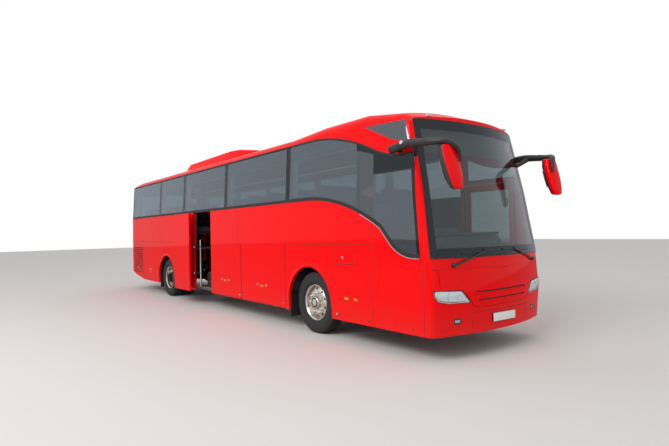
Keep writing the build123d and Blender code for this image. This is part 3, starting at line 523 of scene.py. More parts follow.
def scattered(tree, cells, share):
    """1 near the middle of each cell and 0 elsewhere, as a socket."""
    near = {0: cells.outputs["Distance"], 1: share}
    return add_node(tree, "ShaderNodeMath", near, operation="LESS_THAN").outputs[0]


def moquette():
    """Blue-grey pile with red spots."""
    material, tree, shader = new_material(
        "blue_grey_moquette", Roughness=0.95, Sheen_Weight=0.4, Sheen_Roughness=0.5
    )
    where = place_texture(tree)
    spread = {"Vector": where, "Scale": 1 / SPOT_PITCH, "Randomness": 0.15}
    spot = scattered(tree, add_node(tree, "ShaderNodeTexVoronoi", spread), SPOT_SHARE)
    pile = add_node(tree, "ShaderNodeTexNoise", {"Vector": where, "Scale": 1 / 0.0015, "Detail": 1.0})
    ground = mixed(tree, pile.outputs["Fac"], to_linear("23283A"), to_linear("3B4157"))
    tree.links.new(mixed(tree, spot, ground, to_linear("7E2430")), shader.inputs["Base Color"])
    nap = add_node(
        tree, "ShaderNodeBump", {"Height": pile.outputs["Fac"], "Strength": 0.6, "Distance": 0.0008}
    )
    tree.links.new(nap.outputs["Normal"], shader.inputs["Normal"])
    return material


def flecked_vinyl():
    """Dark grey vinyl with pale flecks."""
    material, tree, shader = new_material("flecked_floor_vinyl", Roughness=0.55)
    where = place_texture(tree)
    cells = add_node(tree, "ShaderNodeTexVoronoi", {"Vector": where, "Scale": 1 / FLECK_PITCH})
    fleck = scattered(tree, cells, FLECK_SHARE)
    tree.links.new(mixed(tree, fleck, to_linear("3F4145"), to_linear("8C9096")), shader.inputs["Base Color"])
    return material


materials["seat_fabric"] = moquette()
materials["floor_vinyl"] = flecked_vinyl()
for row in frame["record"]["subparts"]:
    panel = nodes[row["node"]]
    panel.data.materials.clear()
    panel.data.materials.append(materials[row["material_slot"]])

# %% [markdown]
# Rubber and trim first. A black seal runs along the sill and, on the right, down the swoop
# below the cab window. On the left it steps up over the front door. Another follows the
# brow, and black borders hide the bonding at each joint between panes. The height of the
# band at any place comes from the same curves as the panels.


# %% Seals and borders of the side glass
def edge_at(curve, place):
    """Height of the sill or brow curve at a place."""
    for (x0, z0), (x1, z1) in zip(curve, curve[1:]):
        if x0 <= place <= x1:
            return z0 + (z1 - z0) * (place - x0) / (x1 - x0)
    return curve[-1][1]


def inset_path(curve, low, high, rise):
    """Part of a curve between two places, moved up or down square to its run."""
    between = [p for p in curve if low < p[0] < high]
    path = [(low, edge_at(curve, low)), *between, (high, edge_at(curve, high))]
    made = []
    for n, (x, z) in enumerate(path):
        run_x = path[min(n + 1, len(path) - 1)][0] - path[max(n - 1, 0)][0]
        run_z = path[min(n + 1, len(path) - 1)][1] - path[max(n - 1, 0)][1]
        long = math.hypot(run_x, run_z)
        made.append((x - run_z / long * rise, z + run_x / long * rise))
    return made


def band_patch(low, high, side, foot=None, steps=4):
    """Thin black area on the glass between two places, from the sill or a given height up to the brow."""
    sections = []
    for n in range(steps + 1):
        x = low + (high - low) * n / steps
        bottom = edge_at(SWOOP, x) + 0.02 if foot is None else foot
        top = edge_at(BROW, x) - 0.012
        corners = ((bottom, 0.0003), (bottom, 0.0015), (top, 0.0015), (top, 0.0003))
        sections.append([on_side(x, z, side, proud) for z, proud in corners])
    return rings(sections)


SEAL_WIDTH, SEAL_THICK, SEAL_LIFT = 0.056, 0.004, 0.03
SEAL_REAR = -9.97
FRONT_END = {RIGHT: 2.43, LEFT: 1.24}
# from and to, ahead of the axle and height, where the left seal steps over the front door
LEFT_SEAL = (
    ((SEAL_REAR, SILL + SEAL_LIFT), (1.248, SILL + SEAL_LIFT)),
    ((1.222, SILL + SEAL_LIFT), (1.222, 2.53)),
    ((1.2, 2.53), (2.335, 2.53)),
)
for name, side in SIDES:
    end = FRONT_END[side]
    runs = [inset_path(SWOOP, SEAL_REAR, end, SEAL_LIFT)]
    if side == LEFT:
        runs = [along(start, stop, 8) for start, stop in LEFT_SEAL]
    sill = join(*[side_ribbon(run, side, SEAL_WIDTH, SEAL_THICK) for run in runs])
    brow = side_ribbon(inset_path(BROW, SEAL_REAR, 2.32, -0.016), side, 0.03, SEAL_THICK)
    piece(f"side_seal_{name}", join(sill, brow), "rubber")
    borders = [band_patch(-9.985, -9.93, side, steps=1)]
    for joint in PANE_JOINTS:
        if joint + 0.05 < end or side == RIGHT:
            borders.append(band_patch(joint - 0.06, joint + 0.06, side))
    if side == LEFT:
        borders.append(band_patch(1.21, 1.33, side, 2.5))
    else:
        borders += [band_patch(1.33, 1.585, side, steps=6), band_patch(1.585, 2.33, side, 2.52, 10)]
        borders += [side_ribbon(along((2.425, 1.37), (2.33, 2.72), 6), side, 0.05, 0.0012, 0.0003)]
    piece(f"pane_borders_{name}", join(*borders), "frit")
bright_line = side_ribbon(inset_path(SWOOP, 1.29, 2.43, -0.004), RIGHT, 0.014, 0.006)
piece("cab_window_trim", bright_line, "trim_silver")
slider_rail = side_ribbon(along((1.59, 2.515), (2.355, 2.515), 4), RIGHT, 0.014, 0.003)
piece("cab_slider_rail", slider_rail, "rubber")
print("side glass edged")

# %% [markdown]
# The windscreen has a broad black border, deepest at the foot and the top, where it hides the
# edge of the dashboard and the tube of the sun blind. A red strip above the glass and a red
# corner piece at its left foot close the nose, and two small lamps sit on the brow.

# %% Windscreen border
SCREEN_FOOT, SCREEN_TOP = 1.333, 3.212
FOOT_HALF, TOP_HALF = 1.246, 1.145
FRIT_THICK, FRIT_PROUD = 0.0012, 0.0004


def screen_half(height):
    """Half the width of the windscreen at a height."""
    return FOOT_HALF + (TOP_HALF - FOOT_HALF) * (height - SCREEN_FOOT) / (SCREEN_TOP - SCREEN_FOOT)


def screen_band(low, high, inset, count=24):
    """Level strip across the windscreen between two heights."""
    middle = (low + high) / 2
    half = screen_half(middle) - inset
    return front_ribbon(along((-half, middle), (half, middle), count), high - low, FRIT_THICK, FRIT_PROUD)


def screen_edge(side, width):
    """Upright strip along one end of the windscreen."""
    heights = [SCREEN_FOOT + 0.02 + (SCREEN_TOP - SCREEN_FOOT - 0.04) * n / 12 for n in range(13)]
    path = [(side * (screen_half(z) - width / 2 - 0.006), z) for z in heights]
    return front_ribbon(path, width, FRIT_THICK, FRIT_PROUD)


border = [screen_band(1.34, 1.46, 0.03), screen_band(3.07, 3.205, 0.008)]
border += [screen_edge(side, 0.085) for side in (LEFT, RIGHT)]
piece("windscreen_border", join(*border), "frit")
seal = [front_ribbon(along((-1.24, 1.332), (1.24, 1.332), 24), 0.01, 0.002)]
seal += [front_ribbon(along((s * 1.245, 1.34), (s * 1.147, 3.2), 12), 0.01, 0.002) for s in (1, -1)]
seal += [front_ribbon(along((-1.14, 3.21), (1.14, 3.21), 24), 0.008, 0.0015)]
piece("windscreen_seal", join(*seal), "rubber")
# ahead of the axle and out from the middle, read off the right side of the nose at 1.488 m
NOSE_START = (2.5035, 1.2742)
NOSE_CURVE = ((2.51, 1.2735), (2.524, 1.2692), (2.538, 1.264), (2.552, 1.256), (2.566, 1.2445))
CORNER_THICK = 0.004
# height and distance over the front
HEADER_SECTION = ((3.2125, 0.0), (3.2505, 0.0), (3.2505, -0.04), (3.2125, -0.04))
header = []
for y, _ in along((-0.905, 0), (0.905, 0), 24):
    header.append([on_front(y, z, proud) for z, proud in HEADER_SECTION])
piece("windscreen_header", rings(header), "red_paint")
corner = []
for z in (1.336, 1.4, 1.45, 1.5):
    # the nose leans forward by 28 mm over 144 mm downwards
    shift = 0.028 * (1.488 - z) / 0.144
    outer = [NOSE_START] + [(x + shift, y) for x, y in NOSE_CURVE]
    inner = [(x, y - CORNER_THICK) for x, y in reversed(outer)]
    corner.append([Vector((FRONT_AXLE + x, y, z)) for x, y in outer + inner])
piece("nose_corner_left", rings(corner), "red_paint")
brow_lamp = rounded_box((-0.03, -0.05, -0.012), (0.012, 0.05, 0.012), 0.006)
brow_lamps = [moved(brow_lamp, on_front(s * 0.88, 3.266)) for s in (1, -1)]
piece("brow_lamps", join(*brow_lamps), "clear_lamp")
print("windscreen edged")

# %% [markdown]
# Wheels next. The tyres are 295/80 coach tyres with four grooves round the tread and small
# slots across the shoulders. The front rims are polished alloy with ten wheel nuts and ten
# round vents. The rear pair of rims is dished deep inwards.

# %% Tyres
# radius and distance from the middle plane, from the bead to the middle of the tread
TYRE_PROFILE = (
    (0.2865, -0.103), (0.304, -0.104), (0.318, -0.118), (0.345, -0.136), (0.385, -0.1435), (0.415, -0.1445),
    (0.45, -0.141), (0.48, -0.133), (0.497, -0.1245), (0.5075, -0.114),
    (0.5135, -0.098), (0.5145, -0.068), (0.5, -0.066), (0.5, -0.058), (0.515, -0.056),
    (0.515, -0.024), (0.5, -0.022), (0.5, -0.014), (0.515, -0.012),
)
SHOULDER_POINTS = (9, 10, 11)
# share of a tread pitch, and how deep the shoulder is sunk there
SHOULDER_SLOTS = ((0.0, 0.0), (0.8, 0.0), (0.82, 0.008), (0.98, 0.008))
TREAD_PITCHES = 54


def tyre_section(depth):
    """Both halves of the tread profile, its shoulders sunk by depth."""
    half = [(r - (depth if n in SHOULDER_POINTS else 0), y) for n, (r, y) in enumerate(TYRE_PROFILE)]
    return half + [(r, -y) for r, y in reversed(half)]


def tyre(centre, side):
    """Tyre with slotted shoulders, one pitch of the tread after another."""
    sections = []
    for n in range(TREAD_PITCHES):
        for share, depth in SHOULDER_SLOTS:
            turn = math.tau * (n + share) / TREAD_PITCHES * side
            direction = Vector((math.cos(turn), 0, math.sin(turn)))
            profile = tyre_section(depth)
            sections.append(
                [Vector(centre) + direction * r + Vector((0, side * out, 0)) for r, out in profile]
            )
    return rings(sections, closed=True)


def wall_ribs(centre, side):
    """Raised protecting ribs on the outer sidewall."""
    ribs = []
    for radius, out in ((0.338, 0.133), (0.462, 0.1385), (0.43, 0.1432)):
        low, high, far = out - 0.003, out + 0.002, radius + 0.006
        ribs.append(lathe(((radius, low), (radius, high), (far, high), (far, low)), 72, centre, side))
    return join(*ribs)


FRONT_WHEEL, REAR_WHEEL, TWIN = 1.060, 1.070, 0.340
front_x, rear_x = FRONT_AXLE, FRONT_AXLE + REAR_AXLE
for name, side in reversed(SIDES):
    centre = Vector((front_x, side * FRONT_WHEEL, AXLE_HEIGHT))
    single = join(tyre(centre, side), wall_ribs(centre, side))
    made = piece(f"front_tyre_tread_{name}", single, "tyre", f"wheel_front_{name}", 25)
    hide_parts(f"front_tyre_{name}")
    outer_centre = Vector((rear_x, side * REAR_WHEEL, AXLE_HEIGHT))
    inner_centre = outer_centre - Vector((0, side * TWIN, 0))
    pair = join(tyre(outer_centre, side), wall_ribs(outer_centre, side), tyre(inner_centre, side))
    made = piece(f"rear_tyre_treads_{name}", pair, "tyre", f"wheels_rear_{name}", 25)
    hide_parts(f"rear_tyres_{name}")
print("tyres made")

# %% [markdown]
# A rim disc with a ring of vents is made one sector at a time. In each sector a loop of
# points round the hole is joined to a loop round the sector's edge, so no cutting is needed.


# %% Rims
SPOKES = 10
DISC_THICK = 0.013
LOOP_STEPS = 24
TURNS = [math.tau * n / LOOP_STEPS for n in range(LOOP_STEPS)]


def vented_disc(centre, side, shape, inner, outer, hole_radius, hole):
    """Disc from inner to outer radius with round holes, shape giving its outward place at a radius."""
    parts = []
    half = math.pi / SPOKES
    for sector in range(SPOKES):
        middle = math.tau * (sector + 0.5) / SPOKES
        # each loop holds (angle, radius, depth below the face), the first along the sector's edge
        edge = []
        for turn in TURNS:
            c, s = math.cos(turn), math.sin(turn)
            stretch = 1 / max(abs(c), abs(s))
            radius = hole_radius + (outer - hole_radius if c > 0 else hole_radius - inner) * c * stretch
            edge.append((middle + half * s * stretch, radius, 0.0))
        loops = [edge]
        for grow, sink in ((1.18, 0.0), (1.06, 0.001), (1.0, 0.004), (1.0, DISC_THICK)):
            loop = []
            for turn in TURNS:
                x, y = hole_radius + hole * grow * math.cos(turn), hole * grow * math.sin(turn)
                loop.append((middle + math.atan2(y, x), math.hypot(x, y), sink))
            loops.append(loop)
        sections = []
        for loop in loops:
            section = []
            for angle, radius, sink in loop:
                direction = Vector((math.cos(side * angle), 0, math.sin(side * angle)))
                section.append(
                    Vector(centre) + direction * radius + Vector((0, side * (shape(radius) - sink), 0))
                )
            sections.append(section)
        parts.append(rings(sections, capped=False))
    return join(*parts)


def blend_shape(rows):
    """Function giving the outward place at a radius, along a smooth table."""
    def shape(radius):
        for (r0, y0), (r1, y1) in zip(rows, rows[1:]):
            if r0 <= radius <= r1:
                share = (radius - r0) / (r1 - r0)
                return y0 + (y1 - y0) * (3 * share**2 - 2 * share**3)
        return rows[0][1] if radius < rows[0][0] else rows[-1][1]
    return shape


def nut(centre, side, angle, circle, out, length):
    """Hexagon nut on a washer, with the round stud end showing."""
    direction = Vector((math.cos(angle), 0, math.sin(angle)))
    place = Vector(centre) + direction * circle + Vector((0, side * out, 0))
    end = length + 0.009
    washer = lathe(((0.0, 0.0), (0.0235, 0.0), (0.0225, 0.005), (0.0, 0.005)), 16, place, side)
    body = ((0.0, 0.005), (0.0185, 0.005), (0.0185, length - 0.003), (0.016, length), (0.0, length))
    stud = lathe(((0.0, length), (0.0095, length), (0.0085, end), (0.0, end)), 12, place, side)
    return join(washer, lathe(body, 6, place, side), stud)


def nut_ring(centre, side, out, length):
    """The ring of wheel nuts that holds a rim."""
    return join(*[nut(centre, side, math.tau * k / SPOKES, NUT_CIRCLE, out, length) for k in range(SPOKES)])


NUT_CIRCLE = 0.1675
# the profiles are (radius, outward) pairs, taken from the middle plane of the wheel
BARREL = (
    (0.2857, -0.105), (0.302, -0.105), (0.302, -0.115), (0.273, -0.115), (0.272, 0.02),
    (0.274, 0.1), (0.282, 0.108), (0.2895, 0.1155), (0.2975, 0.1165), (0.3025, 0.1135),
    (0.3035, 0.107), (0.302, 0.104), (0.2857, 0.104),
)
FRONT_FACE = blend_shape(((0.112, 0.092), (0.19, 0.092), (0.215, 0.087), (0.245, 0.07), (0.274, 0.052)))
REAR_FACE = blend_shape(((0.105, -0.15), (0.186, -0.148), (0.2, -0.142), (0.262, -0.098), (0.274, -0.084)))
FRONT_PLATE = ((0.108, 0.07), (0.108, 0.092), (0.1902, 0.092), (0.1902, 0.078))
BRAKE = [(r, FRONT_FACE(r) - 0.03) for r in (0.19, 0.215, 0.245, 0.272)] + [(0.272, 0.0), (0.19, 0.0)]
FRONT_HUB = (
    (0.0, 0.05), (0.112, 0.05), (0.112, 0.096), (0.108, 0.104),
    (0.1, 0.126), (0.094, 0.136), (0.086, 0.141), (0.0, 0.141),
)
HUB_RING = ((0.056, 0.139), (0.084, 0.139), (0.082, 0.1435), (0.058, 0.1435))
HUB_CAP = ((0.0, 0.14), (0.057, 0.14), (0.055, 0.145), (0.045, 0.1475), (0.0, 0.148))
REAR_PLATE = [(0.1, -0.164), (0.1, -0.15)] + [(r, REAR_FACE(r)) for r in (0.12, 0.15, 0.186, 0.195)]
REAR_PLATE += [(0.195, -0.158)]
INNER_RIM = ((0.1, 0.164), (0.1, 0.15), (0.186, 0.148), (0.272, 0.084), (0.272, 0.098), (0.186, 0.162))
REAR_HUB = (
    (0.0, -0.17), (0.126, -0.17), (0.126, -0.07), (0.122, -0.055),
    (0.11, -0.04), (0.104, 0.0), (0.09, 0.012), (0.0, 0.016),
)
HUB_BOLTS, BOLT_CIRCLE = 8, 0.078
BOLT = ((0.0, 0.0), (0.0095, 0.0), (0.0085, 0.006), (0.0, 0.006))
for name, side in reversed(SIDES):
    body = f"wheel_front_{name}"
    centre = Vector((front_x, side * FRONT_WHEEL, AXLE_HEIGHT))
    disc = vented_disc(centre, side, FRONT_FACE, 0.19, 0.2735, 0.2335, 0.0215)
    ridges = [
        lathe(((r - 0.002, 0.09), (r, 0.0945), (r + 0.002, 0.09)), 80, centre, side) for r in (0.139, 0.195)
    ]
    rim = join(lathe(BARREL, 80, centre, side), disc, *ridges)
    made = piece(f"front_rim_polished_{name}", rim, "alloy", body, 30)
    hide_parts(f"front_rim_{name}")
    piece(f"front_rim_face_{name}", lathe(FRONT_PLATE, 80, centre, side), "alloy", body, 30)
    piece(f"front_brake_shadow_{name}", lathe(BRAKE, 60, centre, side), "cast_axle", body)
    piece(f"front_wheel_nuts_{name}", nut_ring(centre, side, 0.092, 0.03), "chrome", body, 30)
    piece(f"front_hub_{name}", lathe(FRONT_HUB, 64, centre, side), "alloy", body, 30)
    piece(f"front_hub_ring_{name}", lathe(HUB_RING, 64, centre, side), "black_plastic", body)
    piece(f"front_hub_cap_{name}", lathe(HUB_CAP, 48, centre, side), "chrome", body, 30)

    body = f"wheels_rear_{name}"
    centre = Vector((rear_x, side * REAR_WHEEL, AXLE_HEIGHT))
    inside = centre - Vector((0, side * TWIN, 0))
    disc = vented_disc(centre, side, REAR_FACE, 0.195, 0.2735, 0.236, 0.0215)
    outer_parts = [lathe(BARREL, 80, centre, side), disc, lathe(REAR_PLATE, 80, centre, side)]
    rim = join(*outer_parts, lathe(BARREL, 60, inside, -side), lathe(INNER_RIM, 60, inside, side))
    made = piece(f"rear_rims_polished_{name}", rim, "alloy", body, 30)
    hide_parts(f"rear_rims_{name}")
    piece(f"rear_wheel_nuts_{name}", nut_ring(centre, side, -0.15, 0.034), "chrome", body, 30)
    bolts = []
    for k in range(HUB_BOLTS):
        turn = math.tau * k / HUB_BOLTS
        spot = Vector((math.cos(turn) * BOLT_CIRCLE, side * 0.0135, math.sin(turn) * BOLT_CIRCLE))
        bolts.append(lathe(BOLT, 6, centre + spot, side))
    hub = join(lathe(REAR_HUB, 64, centre, side), *bolts)
    piece(f"rear_hub_{name}", hub, "cast_axle", body, 30)
print("rims made")

# %% [markdown]
# The lamps. Each headlamp is a pale tray behind a clear cover of the same outline, with two
# round reflectors, a smaller one for the turn lamp, and a dark curved bezel. A small fog lamp
# sits in the bumper below. An outline is rounded at its corners, then drawn inwards ring by
# ring, and every point is laid on the bowed front.


# %% Lamps of the front
def rounded(points, reach, steps=4):
    """Closed outline with its corners rounded off, starting reach before each corner."""
    made = []
    for n, corner in enumerate(points):
        here = Vector(corner)
        before = Vector(points[n - 1]) - here
        after = Vector(points[(n + 1) % len(points)]) - here
        first = here + before.normalized() * min(reach, before.length * 0.45)
        last = here + after.normalized() * min(reach, after.length * 0.45)
        for k in range(steps + 1):
            t = k / steps
            made.append(tuple((1 - t)**2 * first + 2 * t * (1 - t) * here + t**2 * last))
    return made


def front_patch(outline, steps):
    """Skin over an outline drawn inwards, steps being pairs of scale and height over the front."""
    middle = sum((Vector(p) for p in outline), Vector((0, 0))) / len(outline)
    sections = []
    for scale, proud in steps:
        loop = [middle + (Vector(p) - middle) * scale for p in outline]
        sections.append([on_front(p.x, p.y, proud) for p in loop])
    return rings(sections)


def facing_front(profile, count, across, height, proud):
    """Solid of revolution that looks forward, from (radius, outward) pairs."""
    centre = on_front(across, height, proud)
    return turned(lathe(profile, count, centre, 1), -math.pi / 2, "Z", centre)


# across and height
LAMP = ((1.238, 0.925), (0.83, 0.905), (0.69, 0.745), (1.05, 0.752), (1.2, 0.79), (1.24, 0.85))
LOWER_BEZEL = ((1.215, 0.838), (1.16, 0.8), (1.05, 0.775), (0.9, 0.765), (0.76, 0.765))
# across, height and size
REFLECTORS = ((1.145, 0.853, 0.95), (0.985, 0.836, 1.02), (0.845, 0.826, 0.78))
# radius and outward
BOWL = (
    (0.0, -0.05), (0.062, -0.05), (0.062, 0.0), (0.057, 0.0),
    (0.052, -0.008), (0.04, -0.026), (0.02, -0.037), (0.0, -0.039),
)
LENS = ((0.0, -0.03), (0.03, -0.03), (0.031, -0.012), (0.024, -0.003), (0.012, 0.001), (0.0, 0.002))
# scale of the outline and height over the front
COVER_STEPS = ((0.995, -0.006), (0.995, 0.0), (0.975, 0.003), (0.9, 0.004), (0.5, 0.0045), (0.1, 0.0045))
HOUSING_STEPS = ((0.985, -0.005), (0.95, -0.03), (0.86, -0.062), (0.5, -0.075), (0.1, -0.078))
FOG_COVER_STEPS = ((0.99, -0.02), (0.99, -0.002), (0.92, 0.001), (0.5, 0.002), (0.1, 0.002))
FOG_HOUSING_STEPS = ((0.98, -0.012), (0.85, -0.024), (0.4, -0.03), (0.1, -0.03))
FOG_SIZE = 0.6


def resized(profile, size):
    """A profile with all its numbers multiplied."""
    return [(r * size, out * size) for r, out in profile]


covers, housings, bowls, optics, bezels = [], [], [], [], []
for side in (LEFT, RIGHT):
    outline = rounded([(side * y, z) for y, z in LAMP], 0.03)
    covers.append(front_patch(outline, COVER_STEPS))
    housings.append(front_patch(outline, HOUSING_STEPS))
    for across, height, size in REFLECTORS:
        bowls.append(facing_front(resized(BOWL, size), 36, side * across, height, -0.018))
        optics.append(facing_front(resized(LENS, size), 28, side * across, height, -0.018))
    bezels.append(front_ribbon([(side * y, z) for y, z in LOWER_BEZEL], 0.012, 0.006, -0.012))
    bezels.append(front_ribbon(outline + outline[:1], 0.009, 0.0035, 0.0))
    fog = rounded(rectangle(side * 0.838, 0.485, side * 0.942, 0.545), 0.012)
    covers.append(front_patch(fog, FOG_COVER_STEPS))
    housings.append(front_patch(fog, FOG_HOUSING_STEPS))
    bezels.append(front_ribbon(fog + fog[:1], 0.022, 0.003, 0.0))
    optics.append(facing_front(resized(LENS, FOG_SIZE), 24, side * 0.89, 0.515, -0.008))
made = piece("headlamp_covers", join(*covers), "lamp_cover")
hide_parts("headlamps")
piece("headlamp_housings", join(*housings), "lamp_housing")
piece("headlamp_bowls", join(*bowls), "reflector")
piece("headlamp_optics", join(*optics), "clear_lamp")
piece("headlamp_bezels", join(*bezels), "black_plastic")
print("front lamps made")

# %% [markdown]
# The flap below the windscreen has two dark grille slots with small upright fins, and a
# raised lip over the upper one. A red slat sunk into each leaves only a thin dark slit. They
# ride on the flap, since it lifts. A blank plate and thin seams complete the front.

# %% Grille, plate and front seams
FIN_PITCH = 0.026


def level(half, height, count):
    """Path across the front at one height."""
    return along((-half, height), (half, height), count)


fins = []
for half, foot, top in ((0.572, 0.846, 0.883), (0.537, 0.743, 0.777)):
    fins.append(front_ribbon(level(half, (foot + top) / 2, 24), top - foot, 0.001, -0.0088))
    for n in range(int(2 * half / FIN_PITCH)):
        y = -half + FIN_PITCH / 2 + n * FIN_PITCH
        fins.append(front_ribbon([(y, foot + 0.001), (y, top - 0.001)], 0.004, 0.005, -0.0078))
piece("grille_fins", join(*fins), "black_plastic", "front_flap")
lip = front_ribbon(level(0.53, 0.896, 20), 0.018, 0.008)
crease = front_ribbon(level(0.5, 0.812, 20), 0.03, 0.005)
foot_crease = front_ribbon(level(0.47, 0.708, 20), 0.022, 0.004)
slats = [
    front_ribbon(level(half, z, 24), 0.019, 0.004, -0.006) for half, z in ((0.571, 0.8555), (0.536, 0.7525))
]
piece("grille_bars", join(lip, crease, foot_crease, *slats), "red_paint", "front_flap")


def blank_plate(name, centre, facing, tilt):
    """Blank number plate with a thin black frame, facing forwards or backwards."""
    frame_part = rounded_box((-0.004, -0.266, -0.062), (0.004, 0.266, 0.062), 0.003)
    plate_part = rounded_box((-0.003, -0.26, -0.056), (0.003, 0.26, 0.056), 0.002)
    turned_parts = []
    for part, shift in ((frame_part, 0.0), (plate_part, 0.003 * facing)):
        part = turned(moved(part, (shift, 0, 0)), tilt, "X", (0, 0, 0))
        turned_parts.append(moved(part, centre))
    piece(f"{name}_plate_frame", turned_parts[0], "black_plastic")
    piece(f"{name}_plate", turned_parts[1], "number_plate")


blank_plate("front", on_front(0.0, 0.5, 0.008), 1, math.radians(-1.0))
SEAM_WIDTH, SEAM_RISE = 0.008, 0.0007
# one half of the rubber strip that closes the gap round the flap, across and height
FLAP_HALF = (
    (1.1555, 1.1855), (1.1555, 0.9365), (0.824, 0.9195), (0.693, 0.77),
    (0.655, 0.719), (0.603, 0.6865), (0.52, 0.6715),
)
half_line = []
for here, there in zip(FLAP_HALF, FLAP_HALF[1:]):
    half_line += along(here, there, 4)[:-1]
foot_y, foot_z = FLAP_HALF[-1]
flap_line = half_line + along((foot_y, foot_z), (-foot_y, foot_z), 12)
flap_line += [(-y, z) for y, z in reversed(half_line)]
flap_line += along(flap_line[-1], flap_line[0], 24)[1:]
piece("flap_seal", front_ribbon(flap_line, 0.011, 0.002, -0.013), "rubber")
seam_paths = []
for z in (1.1895, 0.926):
    seam_paths += [along((s * 1.165, z), (s * 1.245, z), 4) for s in (LEFT, RIGHT)]
seam_paths += [[(s * 0.63, 0.402), (s * 0.63, 0.603)] for s in (LEFT, RIGHT)] + [level(0.63, 0.607, 16)]
front_seams = [front_ribbon(path, SEAM_WIDTH, SEAM_RISE) for path in seam_paths]
piece("front_seams", join(*front_seams), "rubber")
print("grille and plate made")

# %% [markdown]
# Seams, locks and marker lamps along the sides. Shut lines are 8 mm wide and dark. Each
# luggage flap carries its own amber marker and small locks, which move with it.

# %% Seams and fittings of the sides
MARKER_HEIGHT = 0.68
MARKERS, SIDE_REFLECTORS = (0.95, -8.17, -9.45), (1.16, -8.35)
WAIST = 1.5
REAR_SEAM = -10.0
# each path runs through places and heights
SEAM_PATHS = {
    RIGHT: (
        ((REAR_SEAM, WAIST), (-4.96, WAIST)), ((-3.94, WAIST), (1.54, WAIST)),
        ((1.54, 0.34), (1.54, 1.86)), ((2.5, 0.34), (2.5, 1.325)),
    ),
    LEFT: (along((REAR_SEAM, WAIST), (1.27, WAIST), 2), ((2.5, 0.34), (2.5, 1.325))),
}
UPPER_UPRIGHTS = {RIGHT: (-7.38, -2.6), LEFT: (-7.38, -5.0, -2.6)}
SHARED_SEAMS = (
    ((-0.74, 1.21), (-0.74, 1.497)), ((0.68, 1.21), (0.68, 1.497)),
    ((0.685, 1.2), (1.16, 1.2)), ((1.16, 1.2), (1.16, 1.4), (0.685, 1.4)),
)
REAR_UPRIGHT = ((-8.72, 0.36), (-8.72, 1.495))
# from and to, ahead of the axle
FLAPS = {
    RIGHT: ((-3.96, -2.48), (-2.48, -0.78)),
    LEFT: ((-6.2, -4.2), (-4.2, -2.48), (-2.48, -0.78)),
}


def side_patch(place, side, size, reach, steps):
    """Rounded oblong at the height of the markers, steps being pairs of scale and height over the wall."""
    half, tall = size[0] / 2, size[1] / 2
    low, high = MARKER_HEIGHT - tall, MARKER_HEIGHT + tall
    outline = rounded(rectangle(place - half, low, place + half, high), reach)
    sections = []
    for scale, proud in steps:
        loop = [
            (place + (x - place) * scale, MARKER_HEIGHT + (z - MARKER_HEIGHT) * scale) for x, z in outline
        ]
        sections.append([on_side(x, z, side, proud) for x, z in loop])
    return rings(sections)


def marker(place, side, size=(0.1, 0.04)):
    """Amber lens with a raised middle."""
    return side_patch(place, side, size, 0.008, ((1.0, 0.0), (1.0, 0.006), (0.93, 0.009), (0.3, 0.0105)))


def tray(place, side):
    """Thin black tray round a marker."""
    return side_patch(
        place, side, (0.112, 0.052), 0.01, ((1.0, 0.0), (0.985, 0.004), (0.9, 0.004), (0.88, 0.001))
    )


def lock(place, height, side, size=0.017):
    """Round lock with a raised rim and its key slot."""
    centre = on_side(place, height, side)
    profile = (
        (0.0, 0.0), (size, 0.0), (size, 0.003), (size * 0.85, 0.005), (size * 0.7, 0.003), (0.0, 0.003)
    )
    slot_box = rounded_box((-0.0012, -0.0008, -size * 0.45), (0.0012, 0.0008, size * 0.45), 0.0003)
    return join(lathe(profile, 24, centre, side), moved(slot_box, centre + Vector((0, side * 0.0035, 0))))


for name, side in SIDES:
    paths = [*SEAM_PATHS[side], *SHARED_SEAMS]
    paths += [((x, 1.505), (x, 2.2)) for x in UPPER_UPRIGHTS[side]] + [REAR_UPRIGHT]
    seams = [side_ribbon(path, side, SEAM_WIDTH, SEAM_RISE) for path in paths]
    piece(f"side_seams_{name}", join(*seams), "rubber")
    lenses = join(*[marker(x, side) for x in MARKERS])
    made = piece(f"side_markers_{name}", lenses, "amber_lamp")
    if side == RIGHT:
        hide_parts("marker_lamps")
    piece(f"side_marker_trays_{name}", join(*[tray(x, side) for x in MARKERS]), "black_plastic")
    reflectors = join(*[marker(x, side, (0.085, 0.036)) for x in SIDE_REFLECTORS])
    piece(f"side_reflectors_{name}", reflectors, "amber_lamp")
    locks = [
        lock(0.86, 1.3, side), lock(-8.3, 0.6, side), lock(-9.3, 0.62, side), lock(0.7, 0.42, side, 0.014)
    ]
    piece(f"side_locks_{name}", join(*locks), "chrome")
    for number, (start, end) in enumerate(FLAPS[side], 1):
        body = f"hold_flap_{name}_{number}"
        place = (start + end) / 2
        piece(f"{body}_marker", marker(place, side), "amber_lamp", body)
        fittings = [lock(place + shift, 0.7, side, 0.02) for shift in (-0.16, 0.16)]
        fittings.append(lock(end - 0.07, 0.43, side, 0.013))
        piece(f"{body}_locks", join(*fittings), "chrome", body)
        low, high = start + 0.012, end - 0.012
        edge = [(low, 1.478), (low, 0.352), (high, 0.352), (high, 1.478)]
        runs = [side_ribbon(pair, side, 0.006, 0.0008) for pair in zip(edge, edge[1:])]
        piece(f"{body}_edge_rubber", join(*runs), "rubber", body)
print("side fittings made")

# %% [markdown]
# The mirrors hang from long arms that curve forward and down like horns. A few rows give the
# place and thickness of the arm, and smooth() draws a flowing line through them. The head is
# a red shell over a black back, which holds a large mirror and a small wide-angle one.


